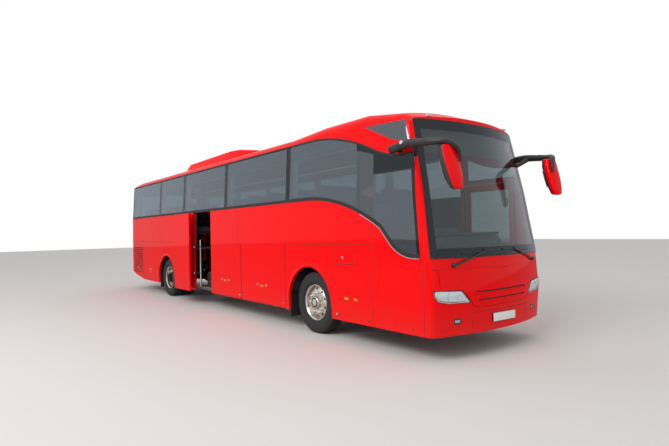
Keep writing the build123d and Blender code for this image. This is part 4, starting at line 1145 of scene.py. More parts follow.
# %% Mirrors
def smooth(rows, steps):
    """More rows of numbers between the given ones, on smooth curves through them."""
    made = []
    for n in range(len(rows) - 1):
        p, q, r, s = rows[max(n - 1, 0)], rows[n], rows[n + 1], rows[min(n + 2, len(rows) - 1)]
        for k in range(steps):
            t = k / steps
            weights = (-t + 2 * t**2 - t**3, 2 - 5 * t**2 + 3 * t**3, t + 4 * t**2 - 3 * t**3, t**3 - t**2)
            made.append(tuple(sum(w * v for w, v in zip(weights, column)) / 2 for column in zip(p, q, r, s)))
    return made + [tuple(rows[-1])]


# ahead of the axle, out from the middle, height, radius
MIRROR_BAR = (
    (2.02, 1.3455, 2.79, 0.044), (2.06, 1.3455, 2.797, 0.0565), (2.36, 1.3455, 2.832, 0.056),
    (2.62, 1.343, 2.812, 0.05), (2.78, 1.33, 2.797, 0.044), (2.9, 1.262, 2.784, 0.04),
    (2.965, 1.165, 2.725, 0.036), (2.985, 1.112, 2.64, 0.03), (2.99, 1.1, 2.54, 0.017),
)
MIRROR_FEET = (
    ((2.12, 1.22, 2.79, 0.044), (2.12, 1.34, 2.81, 0.048)),
    ((2.34, 1.2, 2.7, 0.028), (2.46, 1.33, 2.81, 0.04)),
)
# height, ahead of the axle, out from the middle, depth, width
MIRROR_HEAD = (
    (2.748, 2.878, 1.218, 0.06, 0.15), (2.742, 2.88, 1.218, 0.1, 0.23), (2.715, 2.885, 1.218, 0.124, 0.268),
    (2.6, 2.905, 1.218, 0.138, 0.288), (2.46, 2.94, 1.212, 0.14, 0.285), (2.32, 2.975, 1.204, 0.128, 0.25),
    (2.225, 2.996, 1.2, 0.104, 0.19), (2.2, 3.002, 1.2, 0.078, 0.145), (2.193, 3.004, 1.2, 0.03, 0.07),
)


# two thin collars sit on the arm at these rows of its smoothed path
COLLAR_ROWS = (8, 16)
HEAD_SIDES, SHELL_STEPS = 40, 24
# foot, top and width of the large and the wide-angle mirror
MIRROR_PANES = ((2.3, 2.57, 0.176), (2.59, 2.69, 0.15))
GLASS_FACING = Vector((-0.96, 0, -0.28))
ARM_LAMP = ((0.0, -0.01), (0.03, -0.01), (0.03, 0.006), (0.022, 0.013), (0.0, 0.015))


def head_point(row, turn, grow):
    """Point on the squarish outline of the head, its rear half deeper when drawn smaller."""
    height, place, out, depth, width = row
    c, s = math.cos(turn), math.sin(turn)
    reach = (abs(c)**2.6 + abs(s)**2.6) ** (-1 / 2.6) * grow
    depth *= 1.0 if c > 0 or grow == 1.0 else 1.45
    return Vector((FRONT_AXLE + place + depth / 2 * reach * c, out + width / 2 * reach * s, height))


def bar_line(rows):
    """Middle line of a bar from rows of place, distance out, height and radius."""
    return [Vector((FRONT_AXLE + place, out, height)) for place, out, height, _ in rows]


def bar(rows, sides):
    """Round bar from the same rows."""
    return pipe(bar_line(rows), [row[3] for row in rows], sides)


rows = smooth(MIRROR_HEAD, 4)
head_turns = [math.tau * k / HEAD_SIDES for k in range(HEAD_SIDES)]
back = rings([[head_point(row, turn, 0.975) for turn in head_turns] for row in rows])
front_turns = [math.radians(-112 + 178 * k / SHELL_STEPS) for k in range(SHELL_STEPS + 1)]
skin = []
for row in rows:
    outer_arc = [head_point(row, turn, 1.0) for turn in front_turns]
    skin.append(outer_arc + [head_point(row, turn, 0.955) for turn in reversed(front_turns)])
shell = rings(skin)
carriers, faces = [], []
for low, high, width in MIRROR_PANES:
    line = [row for row in rows if low <= row[0] <= high]
    for made_list, start, thick, narrow in ((carriers, 0.014, 0.015, 0.0), (faces, -0.001, 0.003, 0.012)):
        path = [Vector((FRONT_AXLE + r[1] - r[3] * 0.706 + start, r[2], r[0])) for r in line]
        made_list.append(ribbon(path, [GLASS_FACING] * len(path), width - narrow, thick))
bar_rows = smooth(MIRROR_BAR, 5)
arms = [bar(bar_rows, 18)] + [bar(foot, 16) for foot in MIRROR_FEET]
for n in COLLAR_ROWS:
    here, there = bar_line(bar_rows[n:n + 2])
    run = (there - here).normalized() * 0.012
    arms.append(pipe([here - run, here + run], bar_rows[n][3] + 0.003, 18))
arm = join(*arms)
side_lamp = lathe(ARM_LAMP, 28, Vector((FRONT_AXLE + 2.27, 1.388, 2.85)), 1)
made = piece("mirror_backs", join(back, mirrored(back)), "black_plastic")
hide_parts("mirror_heads")
piece("mirror_shells", join(shell, mirrored(shell)), "red_paint")
piece("mirror_carriers", join(*carriers, *[mirrored(c) for c in carriers]), "black_plastic")
piece("mirror_faces", join(*faces, *[mirrored(f) for f in faces]), "mirror_silver")
made = piece("mirror_horns", join(arm, mirrored(arm)), "black_plastic")
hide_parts("mirror_arms")
piece("mirror_arm_lamps", join(side_lamp, mirrored(side_lamp)), "clear_lamp")
print("mirrors made, sections in a head:", len(rows))

# %% [markdown]
# Two long wipers pivot near the corners of the windscreen and lie almost level along its
# foot. Each has a cast arm that narrows, a hinge head with a cap, and a blade with a spine,
# bridges and a rubber lip on the glass.

# %% Wipers
# across and height: where the arm pivots, where it holds the blade, and the ends of the blade
PIVOT, REACH = (0.93, 1.24), (0.36, 1.412)
BLADE = ((0.78, 1.388), (0.04, 1.416))
# radius and outward
HINGE_HEAD = ((0.0, -0.008), (0.03, -0.008), (0.03, 0.028), (0.026, 0.036), (0.0, 0.04))
HINGE_CAP = ((0.0, 0.036), (0.012, 0.036), (0.011, 0.044), (0.0, 0.046))
BLADE_PIN = ((0.0, 0.012), (0.02, 0.012), (0.02, 0.034), (0.0, 0.036))
arms, lips, caps = [], [], []
for side in (LEFT, RIGHT):
    pivot, reach = (side * PIVOT[0], PIVOT[1]), (side * REACH[0], REACH[1])
    mid = tuple((a + b) / 2 for a, b in zip(pivot, reach))
    arms.append(front_ribbon(along(pivot, mid, 5), 0.036, 0.014, 0.018))
    arms.append(front_ribbon(along(mid, reach, 5), 0.026, 0.01, 0.02))
    caps.append(facing_front(HINGE_HEAD, 24, *pivot, 0.0))
    caps.append(facing_front(HINGE_CAP, 16, *pivot, 0.0))
    arms.append(facing_front(BLADE_PIN, 16, *reach, 0.0))
    blade = [(side * y, z) for y, z in along(BLADE[0], BLADE[1], 16)]
    arms.append(front_ribbon(blade, 0.016, 0.005, 0.013))
    arms.append(front_ribbon(blade[4:13], 0.012, 0.006, 0.018))
    lips.append(front_ribbon(blade, 0.007, 0.013, 0.0006))
    for n in (0, 4, 8, 12, 15):
        lips.append(front_ribbon(blade[n:n + 2], 0.02, 0.008, 0.007))
made = piece("wiper_arms", join(*arms, *caps), "black_plastic")
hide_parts("wipers")
piece("wiper_blades", join(*lips), "rubber")
print("wipers made")

# %% [markdown]
# The roof carries the cooling unit with three fans under wire guards, and two escape hatches.
# They are hardly seen from the ground, but another camera may look down on them.


# %% Roof
def facing_up(profile, count, centre):
    """Solid of revolution about an upright axis, from (radius, height) pairs."""
    return turned(lathe(profile, count, centre, 1), math.pi / 2, "X", centre)


def unit_top(place):
    """Height of the cooling unit's sloping top at a place."""
    return 3.64 + (place + 6.4) / 2.43 * 0.035


FAN_PLACES, FAN_RADIUS, FAN_BLADES = (-5.95, -5.2, -4.45), 0.25, 7
FAN_PLATE = ((0.0, -0.002), (FAN_RADIUS, -0.002), (FAN_RADIUS, 0.0012), (0.0, 0.0012))
# share of the sweep and radius along a blade
FAN_SWEEP, FAN_BLADE = 0.25, ((0, 0.05), (1, 0.13), (2.2, 0.215))
UP = Vector((0, 0, 1))
fans, guards = [], []
for place in FAN_PLACES:
    centre = Vector((FRONT_AXLE + place, 0, unit_top(place)))
    fans.append(facing_up(FAN_PLATE, 48, centre))
    for k in range(FAN_BLADES):
        path = []
        for s, r in FAN_BLADE:
            turn = math.tau * k / FAN_BLADES + FAN_SWEEP * s
            path.append(centre + Vector((math.cos(turn) * r, math.sin(turn) * r, 0.0015)))
        fans.append(ribbon(path, [UP] * 3, 0.07, 0.0012))
    for radius in (0.07, 0.115, 0.16, 0.205, FAN_RADIUS):
        foot, top = (radius - 0.0035, radius + 0.0035), (radius + 0.002, radius - 0.002)
        wire = [(r, 0.0022) for r in foot] + [(r, 0.0055) for r in top]
        guards.append(facing_up(wire, 48, centre))
    for k in range(4):
        turn = math.tau * k / 8 + 0.2
        arm_end = Vector((math.cos(turn), math.sin(turn), 0)) * FAN_RADIUS
        line = [centre - arm_end + UP * 0.003, centre + arm_end + UP * 0.003]
        guards.append(ribbon(line, [UP] * 2, 0.006, 0.0028))
piece("roof_fans", join(*fans), "rubber")
piece("roof_fan_guards", join(*guards), "black_plastic")
hatches, seals = [], []
for place in (-1.55, -8.35):
    x = FRONT_AXLE + place
    hatches.append(rounded_box((x - 0.36, -0.36, 3.44), (x + 0.36, 0.36, 3.495), 0.02, 3))
    seals.append(rounded_box((x - 0.385, -0.385, 3.44), (x + 0.385, 0.385, 3.478), 0.008))
piece("roof_hatches", join(*hatches), "headlining")
piece("roof_hatch_seals", join(*seals), "rubber")
print("roof fitted")

# %% [markdown]
# At the back, each side has a stack of lamps: stop lamp on top, turn lamp, then the reversing
# lamp. Two red reflectors sit low down, and a brake lamp sits above the window. A blank plate
# and a lamp bar ride on the engine lid.

# %% Rear
# height, and how far the rear wall lies ahead of its rearmost place
REAR_SET = ((0.25, 0.01), (0.8, 0.0), (1.33, 0.0), (2.25, 0.02), (3.25, 0.09))
LAMP_STACK = ((1.36, "red_lamp"), (1.18, "amber_lamp"), (1.0, "clear_lamp"))
# scale of the outline and height over the rear
STACK_STEPS = ((0.985, -0.02), (0.985, -0.001), (0.95, 0.001), (0.6, 0.002), (0.1, 0.002))
HIGH_STEPS = ((1.0, -0.002), (1.0, 0.004), (0.9, 0.008), (0.2, 0.009))
REFLECTOR_STEPS = ((1.0, -0.001), (1.0, 0.003), (0.9, 0.004), (0.2, 0.004))
PLATE_STEPS = ((1.0, 0.0021), (1.0, 0.0038), (0.1, 0.0038))
PLATE_FRAME_STEPS = ((1.0, -0.001), (1.0, 0.002), (0.1, 0.002))


def on_rear(across, height, proud=0.0):
    """Point on the rear wall, proud being backwards."""
    for (z0, s0), (z1, s1) in zip(REAR_SET, REAR_SET[1:]):
        if z0 <= height <= z1:
            inset = s0 + (s1 - s0) * (height - z0) / (z1 - z0)
    return Vector((FRONT_AXLE + TAIL + inset - proud, across, height))


def rear_patch(outline, steps):
    """Skin over an outline drawn inwards, laid on the rear wall."""
    middle = sum((Vector(p) for p in outline), Vector((0, 0))) / len(outline)
    sections = []
    for scale, proud in steps:
        sections.append([on_rear(*(middle + (Vector(p) - middle) * scale), proud) for p in outline])
    return rings(sections)


def rear_ribbon(path, width, thick, proud=0.0):
    """Moulding on the rear wall, through distances across and heights."""
    return ribbon([on_rear(y, z, proud) for y, z in path], [Vector((-1, 0, 0))] * len(path), width, thick)


lenses = {kind: [] for _, kind in LAMP_STACK}
bezels = []
for side in (LEFT, RIGHT):
    for foot, kind in LAMP_STACK:
        outline = rounded(rectangle(side * 1.004, foot + 0.004, side * 1.126, foot + 0.146), 0.02)
        lenses[kind].append(rear_patch(outline, STACK_STEPS))
        bezels.append(rear_ribbon(outline + outline[:1], 0.008, 0.0018))
high_stop = rounded(rectangle(-0.2, 3.155, 0.2, 3.18), 0.008)
lenses["red_lamp"].append(rear_patch(high_stop, HIGH_STEPS))
for side in (LEFT, RIGHT):
    outline = rounded(rectangle(side * 0.93, 0.56, side * 1.06, 0.6), 0.008)
    lenses["red_lamp"].append(rear_patch(outline, REFLECTOR_STEPS))
for kind, parts in lenses.items():
    made = piece(f"rear_{kind}_lenses", join(*parts), kind)
    if kind == "red_lamp":
        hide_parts("tail_lamps")
piece("rear_lamp_bezels", join(*bezels), "black_plastic")
plate_frame = rear_patch(rounded(rectangle(-0.267, 1.393, 0.267, 1.518), 0.012), PLATE_FRAME_STEPS)
piece("rear_plate_frame", plate_frame, "black_plastic", "engine_lid")
plate = rear_patch(rounded(rectangle(-0.26, 1.4, 0.26, 1.511), 0.01), PLATE_STEPS)
piece("rear_plate", plate, "number_plate", "engine_lid")
lamp_bar = rear_ribbon(along((-0.2, 1.55), (0.2, 1.55), 4), 0.03, 0.004)
piece("rear_plate_lamp_bar", lamp_bar, "black_plastic", "engine_lid")
window_edge = [along((-1.0, z), (1.0, z), 8) for z in (2.3, 3.085)]
window_edge += [along((s * 0.977, 2.27), (s * 0.977, 3.11), 6) for s in (LEFT, RIGHT)]
piece("rear_window_border", join(*[rear_ribbon(path, 0.06, 0.0012, 0.0003) for path in window_edge]), "frit")
print("rear fitted")

# %% [markdown]
# Inside the saloon twelve rows of reclining seats stand on a raised deck. On the right, two
# rows are left out over the stairwell. A seat is a cushion, a back, a head bolster, two arm
# rests, a shell with a pocket, and a pedestal for each pair. One model of each is made and
# set out row by row.

# %% Passenger seats
DECK = 1.38
SEAT_PITCH, FIRST_ROW, ROWS = 0.83, 0.25, 12
SEATS_OUT, PAIR_OUT = (0.525, 0.965), 0.745
WELL_ROWS = (5, 6)
BACK_SHIFT = (-0.04, 0, 0.45)
# low corner, high corner and rounding of a pair's beam, leg, foot plate and wall bracket
SEAT_FRAME = (
    ((0.02, -0.4, 0.32), (0.4, 0.4, 0.38), 0.01), ((0.12, -0.33, 0.004), (0.18, -0.25, 0.33), 0.01),
    ((0.02, -0.35, 0.0), (0.34, -0.23, 0.02), 0.006), ((0.12, 0.37, 0.3), (0.18, 0.43, 0.34), 0.01),
)


def squab(low, high, bevel, bulge):
    """Foam block with soft edges, its broad face raised along the middle by bulge."""
    points, faces = rounded_box(low, high, bevel, 4)
    low, high = Vector(low), Vector(high)
    middle = (low + high) / 2
    swollen = []
    for p in points:
        off = [(p[i] - middle[i]) / (high[i] - low[i]) * 2 for i in range(3)]
        crown = bulge * max(0.0, 1 - off[0]**2) * max(0.0, 1 - off[1]**2) if p.z > middle.z else 0.0
        swollen.append(Vector((p.x, p.y, p.z + crown)))
    return swollen, faces


def leant(part):
    """A back drawn lying flat, stood up and leant back by ten degrees."""
    return turned(part, math.radians(-100), "Y", (0, 0, 0))


CUSHION = squab((0.0, -0.215, 0.385), (0.45, 0.215, 0.5), 0.045, 0.02)
BACK = moved(leant(squab((0.0, -0.215, -0.055), (0.6, 0.215, 0.055), 0.05, 0.025)), BACK_SHIFT)
HEAD = moved(leant(squab((0.52, -0.15, -0.01), (0.68, 0.15, 0.095), 0.04, 0.012)), BACK_SHIFT)
SHELL = moved(leant(rounded_box((-0.02, -0.222, -0.085), (0.64, 0.222, -0.05), 0.015)), BACK_SHIFT)
POCKET = moved(leant(rounded_box((0.12, -0.17, -0.1), (0.34, 0.17, -0.086), 0.006)), BACK_SHIFT)
ARM_PART = rounded_box((-0.04, -0.025, 0.6), (0.33, 0.025, 0.64), 0.015)
seats = {"cushion": CUSHION, "back": BACK, "head": HEAD}
shells, frames, count = [], [], 0
for row in range(ROWS):
    place = FIRST_ROW - row * SEAT_PITCH
    for side in (RIGHT, LEFT):
        if side == RIGHT and row in WELL_ROWS:
            continue
        for out in SEATS_OUT:
            spot = (FRONT_AXLE + place, side * out, DECK)
            for kind, part in seats.items():
                fabric = "leather" if kind == "head" else "seat_fabric"
                made = piece(f"seat_{kind}_{count}", moved(part, spot), fabric)
                if count == 0 and kind == "cushion":
                    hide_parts("seats_right", "seats_left")
            shells += [moved(SHELL, spot), moved(POCKET, spot)]
            for arm_side in (-0.235, 0.235):
                shells.append(moved(ARM_PART, (spot[0], spot[1] + arm_side * 0.98, DECK)))
            count += 1
        pair = Vector((FRONT_AXLE + place, side * PAIR_OUT, DECK))
        frames += [
            rounded_box(pair + Vector(low), pair + Vector(high), bevel) for low, high, bevel in SEAT_FRAME
        ]
piece("seat_shells", join(*shells), "black_plastic")
piece("seat_frames", join(*frames), "frame_paint")
print("seats:", count)

# %% [markdown]
# Pleated curtains hang at the rear corners and beside four pane joints, gathered to about a
# sixth of a metre. Cloth keeps its area when it is gathered, so its flat width is measured
# along the pleats.

# %% Curtains
CURTAIN_FOOT, CURTAIN_TOP = 2.33, 2.962
PLEAT, DEPTH, GATHERED = 0.034, 0.0085, 0.17
PLEAT_STEPS, CURTAIN_ROWS, CLOTH_THICK = 60, 8, 0.0012
RAIL_INSET = 0.022
REAR_CURTAIN = -9.75


def inner_face(height):
    """Distance of a wall's inner face from the middle, at a height."""
    return HALF_WIDTH - 0.045 - SIDE_LEAN * max(0.0, height - LEAN_START)


def curtain(place, side):
    """Thin pleated sheet, both faces, and its developed width."""
    line = []
    for n in range(PLEAT_STEPS + 1):
        gone = GATHERED * n / PLEAT_STEPS
        line.append((gone, DEPTH * math.sin(math.tau * gone / PLEAT)))
    width = sum(math.dist(here, there) for here, there in zip(line, line[1:]))
    sections = []
    for k in range(CURTAIN_ROWS + 1):
        z = CURTAIN_FOOT + (CURTAIN_TOP - CURTAIN_FOOT) * k / CURTAIN_ROWS
        sway = 1 + 0.25 * math.sin(2.1 * k + place)
        front = []
        back = []
        for x, y in line:
            base = side * (inner_face(z) - RAIL_INSET + y * min(1.1, sway))
            front.append(Vector((FRONT_AXLE + place + x, base, z)))
            back.append(Vector((FRONT_AXLE + place + x, base - side * CLOTH_THICK, z)))
        sections.append(front + list(reversed(back)))
    return rings(sections), width


for name, side in SIDES:
    z = CURTAIN_TOP + 0.008
    y = side * (inner_face(z) - RAIL_INSET)
    low, high = (FRONT_AXLE - 9.8, y - 0.012, z - 0.006), (FRONT_AXLE + 1.2, y + 0.012, z + 0.008)
    piece(f"curtain_rail_{name}", rounded_box(low, high, 0.003), "trim_silver")
    for number, joint in enumerate((REAR_CURTAIN,) + PANE_JOINTS[:-1]):
        part, width = curtain(joint + 0.06 if number else joint, side)
        made = piece(f"curtain_{name}_{number}", part, "curtain", sharp=80)
print("curtains hung")

# %% [markdown]
# Dark moulded panels line the walls below the windows, from the deck up to the sills. They
# stop at the doorways, where the leaves need the room.


# %% Wall lining
def lining(start, end, side):
    """Panel 4 mm thick on the inner face of a wall."""
    rising = [DECK + 0.012 + (2.262 - DECK) * n / 6 for n in range(7)]
    sections = []
    for x, _ in along((start, 0), (end, 0), 4):
        outer = [Vector((FRONT_AXLE + x, side * (inner_face(z) - 0.001), z)) for z in rising]
        inner = [Vector((FRONT_AXLE + x, side * (inner_face(z) - 0.005), z)) for z in reversed(rising)]
        sections.append(outer + inner)
    return rings(sections)


panels = [lining(-9.9, 1.2, LEFT), lining(-9.9, -4.86, RIGHT), lining(-3.96, 1.2, RIGHT)]
piece("wall_lining", join(*panels), "cab_trim")
print("walls lined")

# %% [markdown]
# The driver's place: a sprung seat with arm rests, a steering wheel with four spokes, a
# dashboard with an instrument hood, dials, air vents and a row of switches, and a sun blind
# that hangs from its tube behind the windscreen.


# %% Driver's place
def torus(centre, axis, radius, thick, count=48, sides=12):
    """Ring of round section about an axis."""
    axis = Vector(axis).normalized()
    first = axis.cross(Vector((0, 1, 0))).normalized()
    second = axis.cross(first)
    around = [math.tau * k / sides for k in range(sides)]
    sections = []
    for n in range(count):
        turn = math.tau * n / count
        out = math.cos(turn) * first + math.sin(turn) * second
        section = [out * (radius + thick * math.cos(t)) + axis * thick * math.sin(t) for t in around]
        sections.append([Vector(centre) + point for point in section])
    return rings(sections, closed=True)


DRIVER_Y = -0.66
WHEEL = Vector((FRONT_AXLE + 2.01, DRIVER_Y, 1.68))
COLUMN_TILT = math.radians(35)
WHEEL_AXIS = Vector((-math.sin(COLUMN_TILT), 0, math.cos(COLUMN_TILT)))
wheel_out = WHEEL_AXIS.cross(Vector((0, 1, 0))).normalized()
parts = [torus(WHEEL, WHEEL_AXIS, 0.225, 0.0155)]
for angle in (35, 145, 215, 325):
    direction = math.cos(math.radians(angle)) * Vector((0, 1, 0)) + math.sin(math.radians(angle)) * wheel_out
    path = [WHEEL + direction * r + WHEEL_AXIS * h for r, h in ((0.03, -0.004), (0.12, -0.01), (0.216, 0.0))]
    parts.append(ribbon([p - WHEEL_AXIS * 0.006 for p in path], [WHEEL_AXIS] * 3, 0.032, 0.012))
boss = [WHEEL + WHEEL_AXIS * h for h in (-0.028, -0.02, 0.004, 0.012)]
parts.append(pipe(boss, [0.045, 0.07, 0.07, 0.045], 28))
made = piece("wheel_rim_and_boss", join(*parts), "black_plastic", "steering_wheel")
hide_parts("steering_wheel")

CAB_FLOOR = 0.95
CAB_BACK_SHIFT = (-0.02, 0, 0.48)
FOLDS, FOLD_HEIGHT = 6, 0.045
seat_spot = (FRONT_AXLE + 1.3, DRIVER_Y, CAB_FLOOR)
cab_seat = {
    "cushion": squab((0.0, -0.24, 0.42), (0.48, 0.24, 0.53), 0.045, 0.02),
    "back": moved(leant(squab((0.0, -0.24, -0.05), (0.68, 0.24, 0.06), 0.05, 0.02)), CAB_BACK_SHIFT),
    "head": moved(leant(squab((0.6, -0.14, -0.02), (0.8, 0.14, 0.08), 0.04, 0.01)), CAB_BACK_SHIFT),
}
for kind, part in cab_seat.items():
    made = piece(f"driver_seat_{kind}", moved(part, seat_spot), "seat_fabric")
    if kind == "cushion":
        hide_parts("driver_seat")
# foot plate, bellows in folds, seat pan and arm rests, all from the seat's own origin
boxes = [((0.02, -0.2, 0.0), (0.42, 0.2, 0.06), 0.015)]
for k in range(FOLDS):
    wide = 0.17 if k % 2 else 0.15
    z = 0.06 + k * FOLD_HEIGHT
    boxes.append(((0.22 - wide, -wide, z), (0.22 + wide, wide, z + FOLD_HEIGHT), 0.014))
boxes.append(((0.0, -0.24, 0.33), (0.46, 0.24, 0.42), 0.02))
boxes += [((0.02, s * 0.27 - 0.03, 0.66), (0.34, s * 0.27 + 0.03, 0.7), 0.015) for s in (-1, 1)]
origin = Vector(seat_spot)
base = [rounded_box(origin + Vector(low), origin + Vector(high), bevel) for low, high, bevel in boxes]
piece("driver_seat_base", join(*base), "black_plastic")

dash_x = FRONT_AXLE + 2.2
hood = rounded_box((dash_x - 0.04, -0.93, 1.63), (dash_x + 0.2, -0.39, 1.72), 0.04, 4)
console = rounded_box((dash_x - 0.08, -0.36, 1.42), (dash_x + 0.06, 0.1, 1.64), 0.03, 3)
top_pad = rounded_box((dash_x - 0.01, -1.15, 1.62), (dash_x + 0.26, 0.48, 1.655), 0.012, 2)
shelf = rounded_box((dash_x + 0.02, 0.12, 1.5), (dash_x + 0.22, 0.46, 1.63), 0.02, 2)
piece("dashboard_hood", join(hood, console, top_pad, shelf), "cab_trim")
DIAL = ((0.0, 0.0), (0.036, 0.0), (0.036, 0.006), (0.031, 0.006), (0.03, 0.002), (0.0, 0.002))
dials = []
for y_at in (-0.82, -0.73, -0.6, -0.5):
    centre = Vector((dash_x - 0.042, y_at, 1.675))
    dials.append(turned(lathe(DIAL, 28, centre, 1), math.pi / 2, "Z", centre))
piece("dashboard_dials", join(*dials), "trim_silver")
vents = []
for y_at in (-1.05, -0.28, 0.02, 0.3):
    for k in range(5):
        z = 1.52 + k * 0.018
        vents.append(
            rounded_box((dash_x - 0.085, y_at - 0.05, z), (dash_x - 0.07, y_at + 0.05, z + 0.008), 0.002)
        )
for k in range(8):
    y_at = -0.33 + k * 0.05
    vents.append(rounded_box((dash_x - 0.088, y_at, 1.45), (dash_x - 0.078, y_at + 0.035, 1.485), 0.004))
piece("dashboard_vents_and_switches", join(*vents), "gloss_black")
BLIND_HEIGHTS = (3.09, 2.98, 2.86, 2.74)
BLIND_SECTION = [(z, -0.066) for z in BLIND_HEIGHTS] + [(z, -0.0675) for z in reversed(BLIND_HEIGHTS)]
blind = []
for y, _ in along((-1.0, 0), (1.0, 0), 24):
    blind.append([on_front(y, z, proud) for z, proud in BLIND_SECTION])
blind_tube = pipe([on_front(y, 3.1, -0.075) for y, _ in along((-1.02, 0), (1.02, 0), 12)], 0.016, 12)
piece("sun_blind_tube", blind_tube, "trim_silver")
made = piece("sun_blind", rings(blind), "blind_fabric")
print("driver's place made")

# %% [markdown]
# Smaller cabin pieces that show through the glass and the open door: edge rails of the parcel
# racks, panels with the reading lamps, trims on the window pillars, and step nosings with a
# yellow edge.

# %% Cabin trim and steps
trims, strips = [], []
for side in (RIGHT, LEFT):
    y = side * 0.64
    trims.append(pipe([(FRONT_AXLE + x, y - side * 0.012, 3.015) for x in (-9.84, 0.88)], 0.014, 12))
    for n in range(13):
        x = FRONT_AXLE + 0.45 - n * SEAT_PITCH
        strips.append(rounded_box((x - 0.16, side * 0.78, 2.93), (x + 0.16, side * 0.98, 2.952), 0.008))
piece("rack_edge_rails", join(*trims), "trim_silver")
piece("reading_lamp_panels", join(*strips), "black_plastic")
# ahead of the joint and towards the middle
PILLAR_SECTION = ((-0.04, 0.0), (-0.03, -0.012), (0.03, -0.012), (0.04, 0.0))
PILLAR_ENDS = ((2.27, inner_face(2.3)), (2.95, inner_face(2.95)))
pillars = []
for side in (RIGHT, LEFT):
    for joint in PANE_JOINTS[:-1]:
        x = FRONT_AXLE + joint
        ends = []
        for z, face in PILLAR_ENDS:
            ends.append([Vector((x + dx, side * (face + dy), z)) for dx, dy in PILLAR_SECTION])
        pillars.append(rings(ends))
piece("window_pillar_trims", join(*pillars), "headlining")

# side, rear and front end of the steps, then the height and edge of each, out from the middle
STAIRS = (
    (RIGHT, -4.93, -3.97, ((0.43, 1.2297), (0.74, 0.93), (1.05, 0.66))),
    (LEFT, 1.29, 2.33, ((0.43, 1.2297), (0.7, 0.93))),
)
nosings, yellow = [], []
for side, start, end, steps in STAIRS:
    for height, edge in steps:
        low_y, high_y = sorted((side * (edge - 0.002), side * (edge - 0.045)))
        low, high = (FRONT_AXLE + start, low_y, height - 0.03), (FRONT_AXLE + end, high_y, height + 0.003)
        nosings.append(rounded_box(low, high, 0.0014))
        low_y, high_y = sorted((side * (edge - 0.008), side * (edge - 0.02)))
        low = (FRONT_AXLE + start + 0.01, low_y, height + 0.002)
        high = (FRONT_AXLE + end - 0.01, high_y, height + 0.0045)
        yellow.append(rounded_box(low, high, 0.001))
piece("step_nosings", join(*nosings), "trim_silver")
piece("step_edges", join(*yellow), "step_yellow")
print("steps edged")

# %% [markdown]
# Both doors have a rubber edge and an inside grab rail, and the front door has a lining and
# a handle too. The open centre leaf is closed in its upper half by a red panel, flush with
# the leaf, as the photograph shows no window there. All this rides on the leaves. Only the
# rubber round the front doorway stays with the coach.


# %% Door fittings
def rail_on_leaf(place, leaf_y, side, foot, top):
    """Grab rail standing 40 mm off the inner face of a leaf."""
    y = leaf_y - side * 0.04
    x = FRONT_AXLE + place
    bend = [(x, leaf_y, foot), (x, y + side * 0.012, foot + 0.004), (x, y, foot + 0.03)]
    bend += [(x, y, top - 0.03), (x, y + side * 0.012, top - 0.004), (x, leaf_y, top)]
    return pipe(bend, 0.0125, 14)


def leaf_edge(start, end, foot, top, leaf_y, side):
    """Rubber strip round the inner face of a leaf."""
    round_it = ((start, foot), (start, top), (end, top), (end, foot), (start, foot))
    corners = [Vector((FRONT_AXLE + x, leaf_y, z)) for x, z in round_it]
    return join(
        *[ribbon(run, [Vector((0, -side, 0))] * 2, 0.014, 0.003) for run in zip(corners, corners[1:])]
    )


OPEN_LEAF, CLOSED_LEAF = -1.4273, 1.233
piece(
    "centre_door_rubber", leaf_edge(-5.727, -4.792, 0.352, 2.203, OPEN_LEAF, RIGHT), "rubber", "centre_door"
)
piece("front_door_rubber", leaf_edge(1.312, 2.236, 0.352, 1.42, CLOSED_LEAF, LEFT), "rubber", "front_door")
jamb = [side_ribbon(along((x, 0.36), (x, 2.47), 14), LEFT, 0.026, 0.004, -0.051) for x in (1.289, 2.271)]
jamb.append(side_ribbon(along((1.295, 2.4753), (2.265, 2.4753), 6), LEFT, 0.0105, 0.02, -0.024))
piece("front_doorway_rubber", join(*jamb), "rubber")
door_card = rounded_box((FRONT_AXLE + 1.325, 1.2285, 0.366), (FRONT_AXLE + 2.223, 1.2325, 1.408), 0.0012)
piece("front_door_lining", door_card, "cab_trim", "front_door")
piece("centre_door_rail", rail_on_leaf(-4.96, OPEN_LEAF, RIGHT, 0.92, 1.3), "chrome", "centre_door")
piece("front_door_rail", rail_on_leaf(2.1, CLOSED_LEAF, LEFT, 0.92, 1.3), "chrome", "front_door")
opening = rectangle(-5.6642, 1.4402, -4.8546, 2.1198)
upper_panel = rings([[Vector((FRONT_AXLE + x, y, z)) for x, z in opening] for y in (-1.4693, -1.4603)])
made = piece("centre_door_upper_panel", upper_panel, "red_paint", "centre_door")
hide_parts("centre_door_glass")
cup_spot = on_side(1.39, 1.12, LEFT)
cup = [
    rounded_box(cup_spot + Vector((-0.055, -0.004, -0.03)), cup_spot + Vector((0.055, 0.003, 0.03)), 0.003)
]
GRIP = ((-0.045, 0.003), (-0.03, 0.014), (0.03, 0.014), (0.045, 0.003))
cup.append(pipe([cup_spot + Vector((dx, dy, 0.004)) for dx, dy in GRIP], 0.006, 10))
piece("front_door_handle", join(*cup), "black_plastic", "front_door")
print("doors fitted")
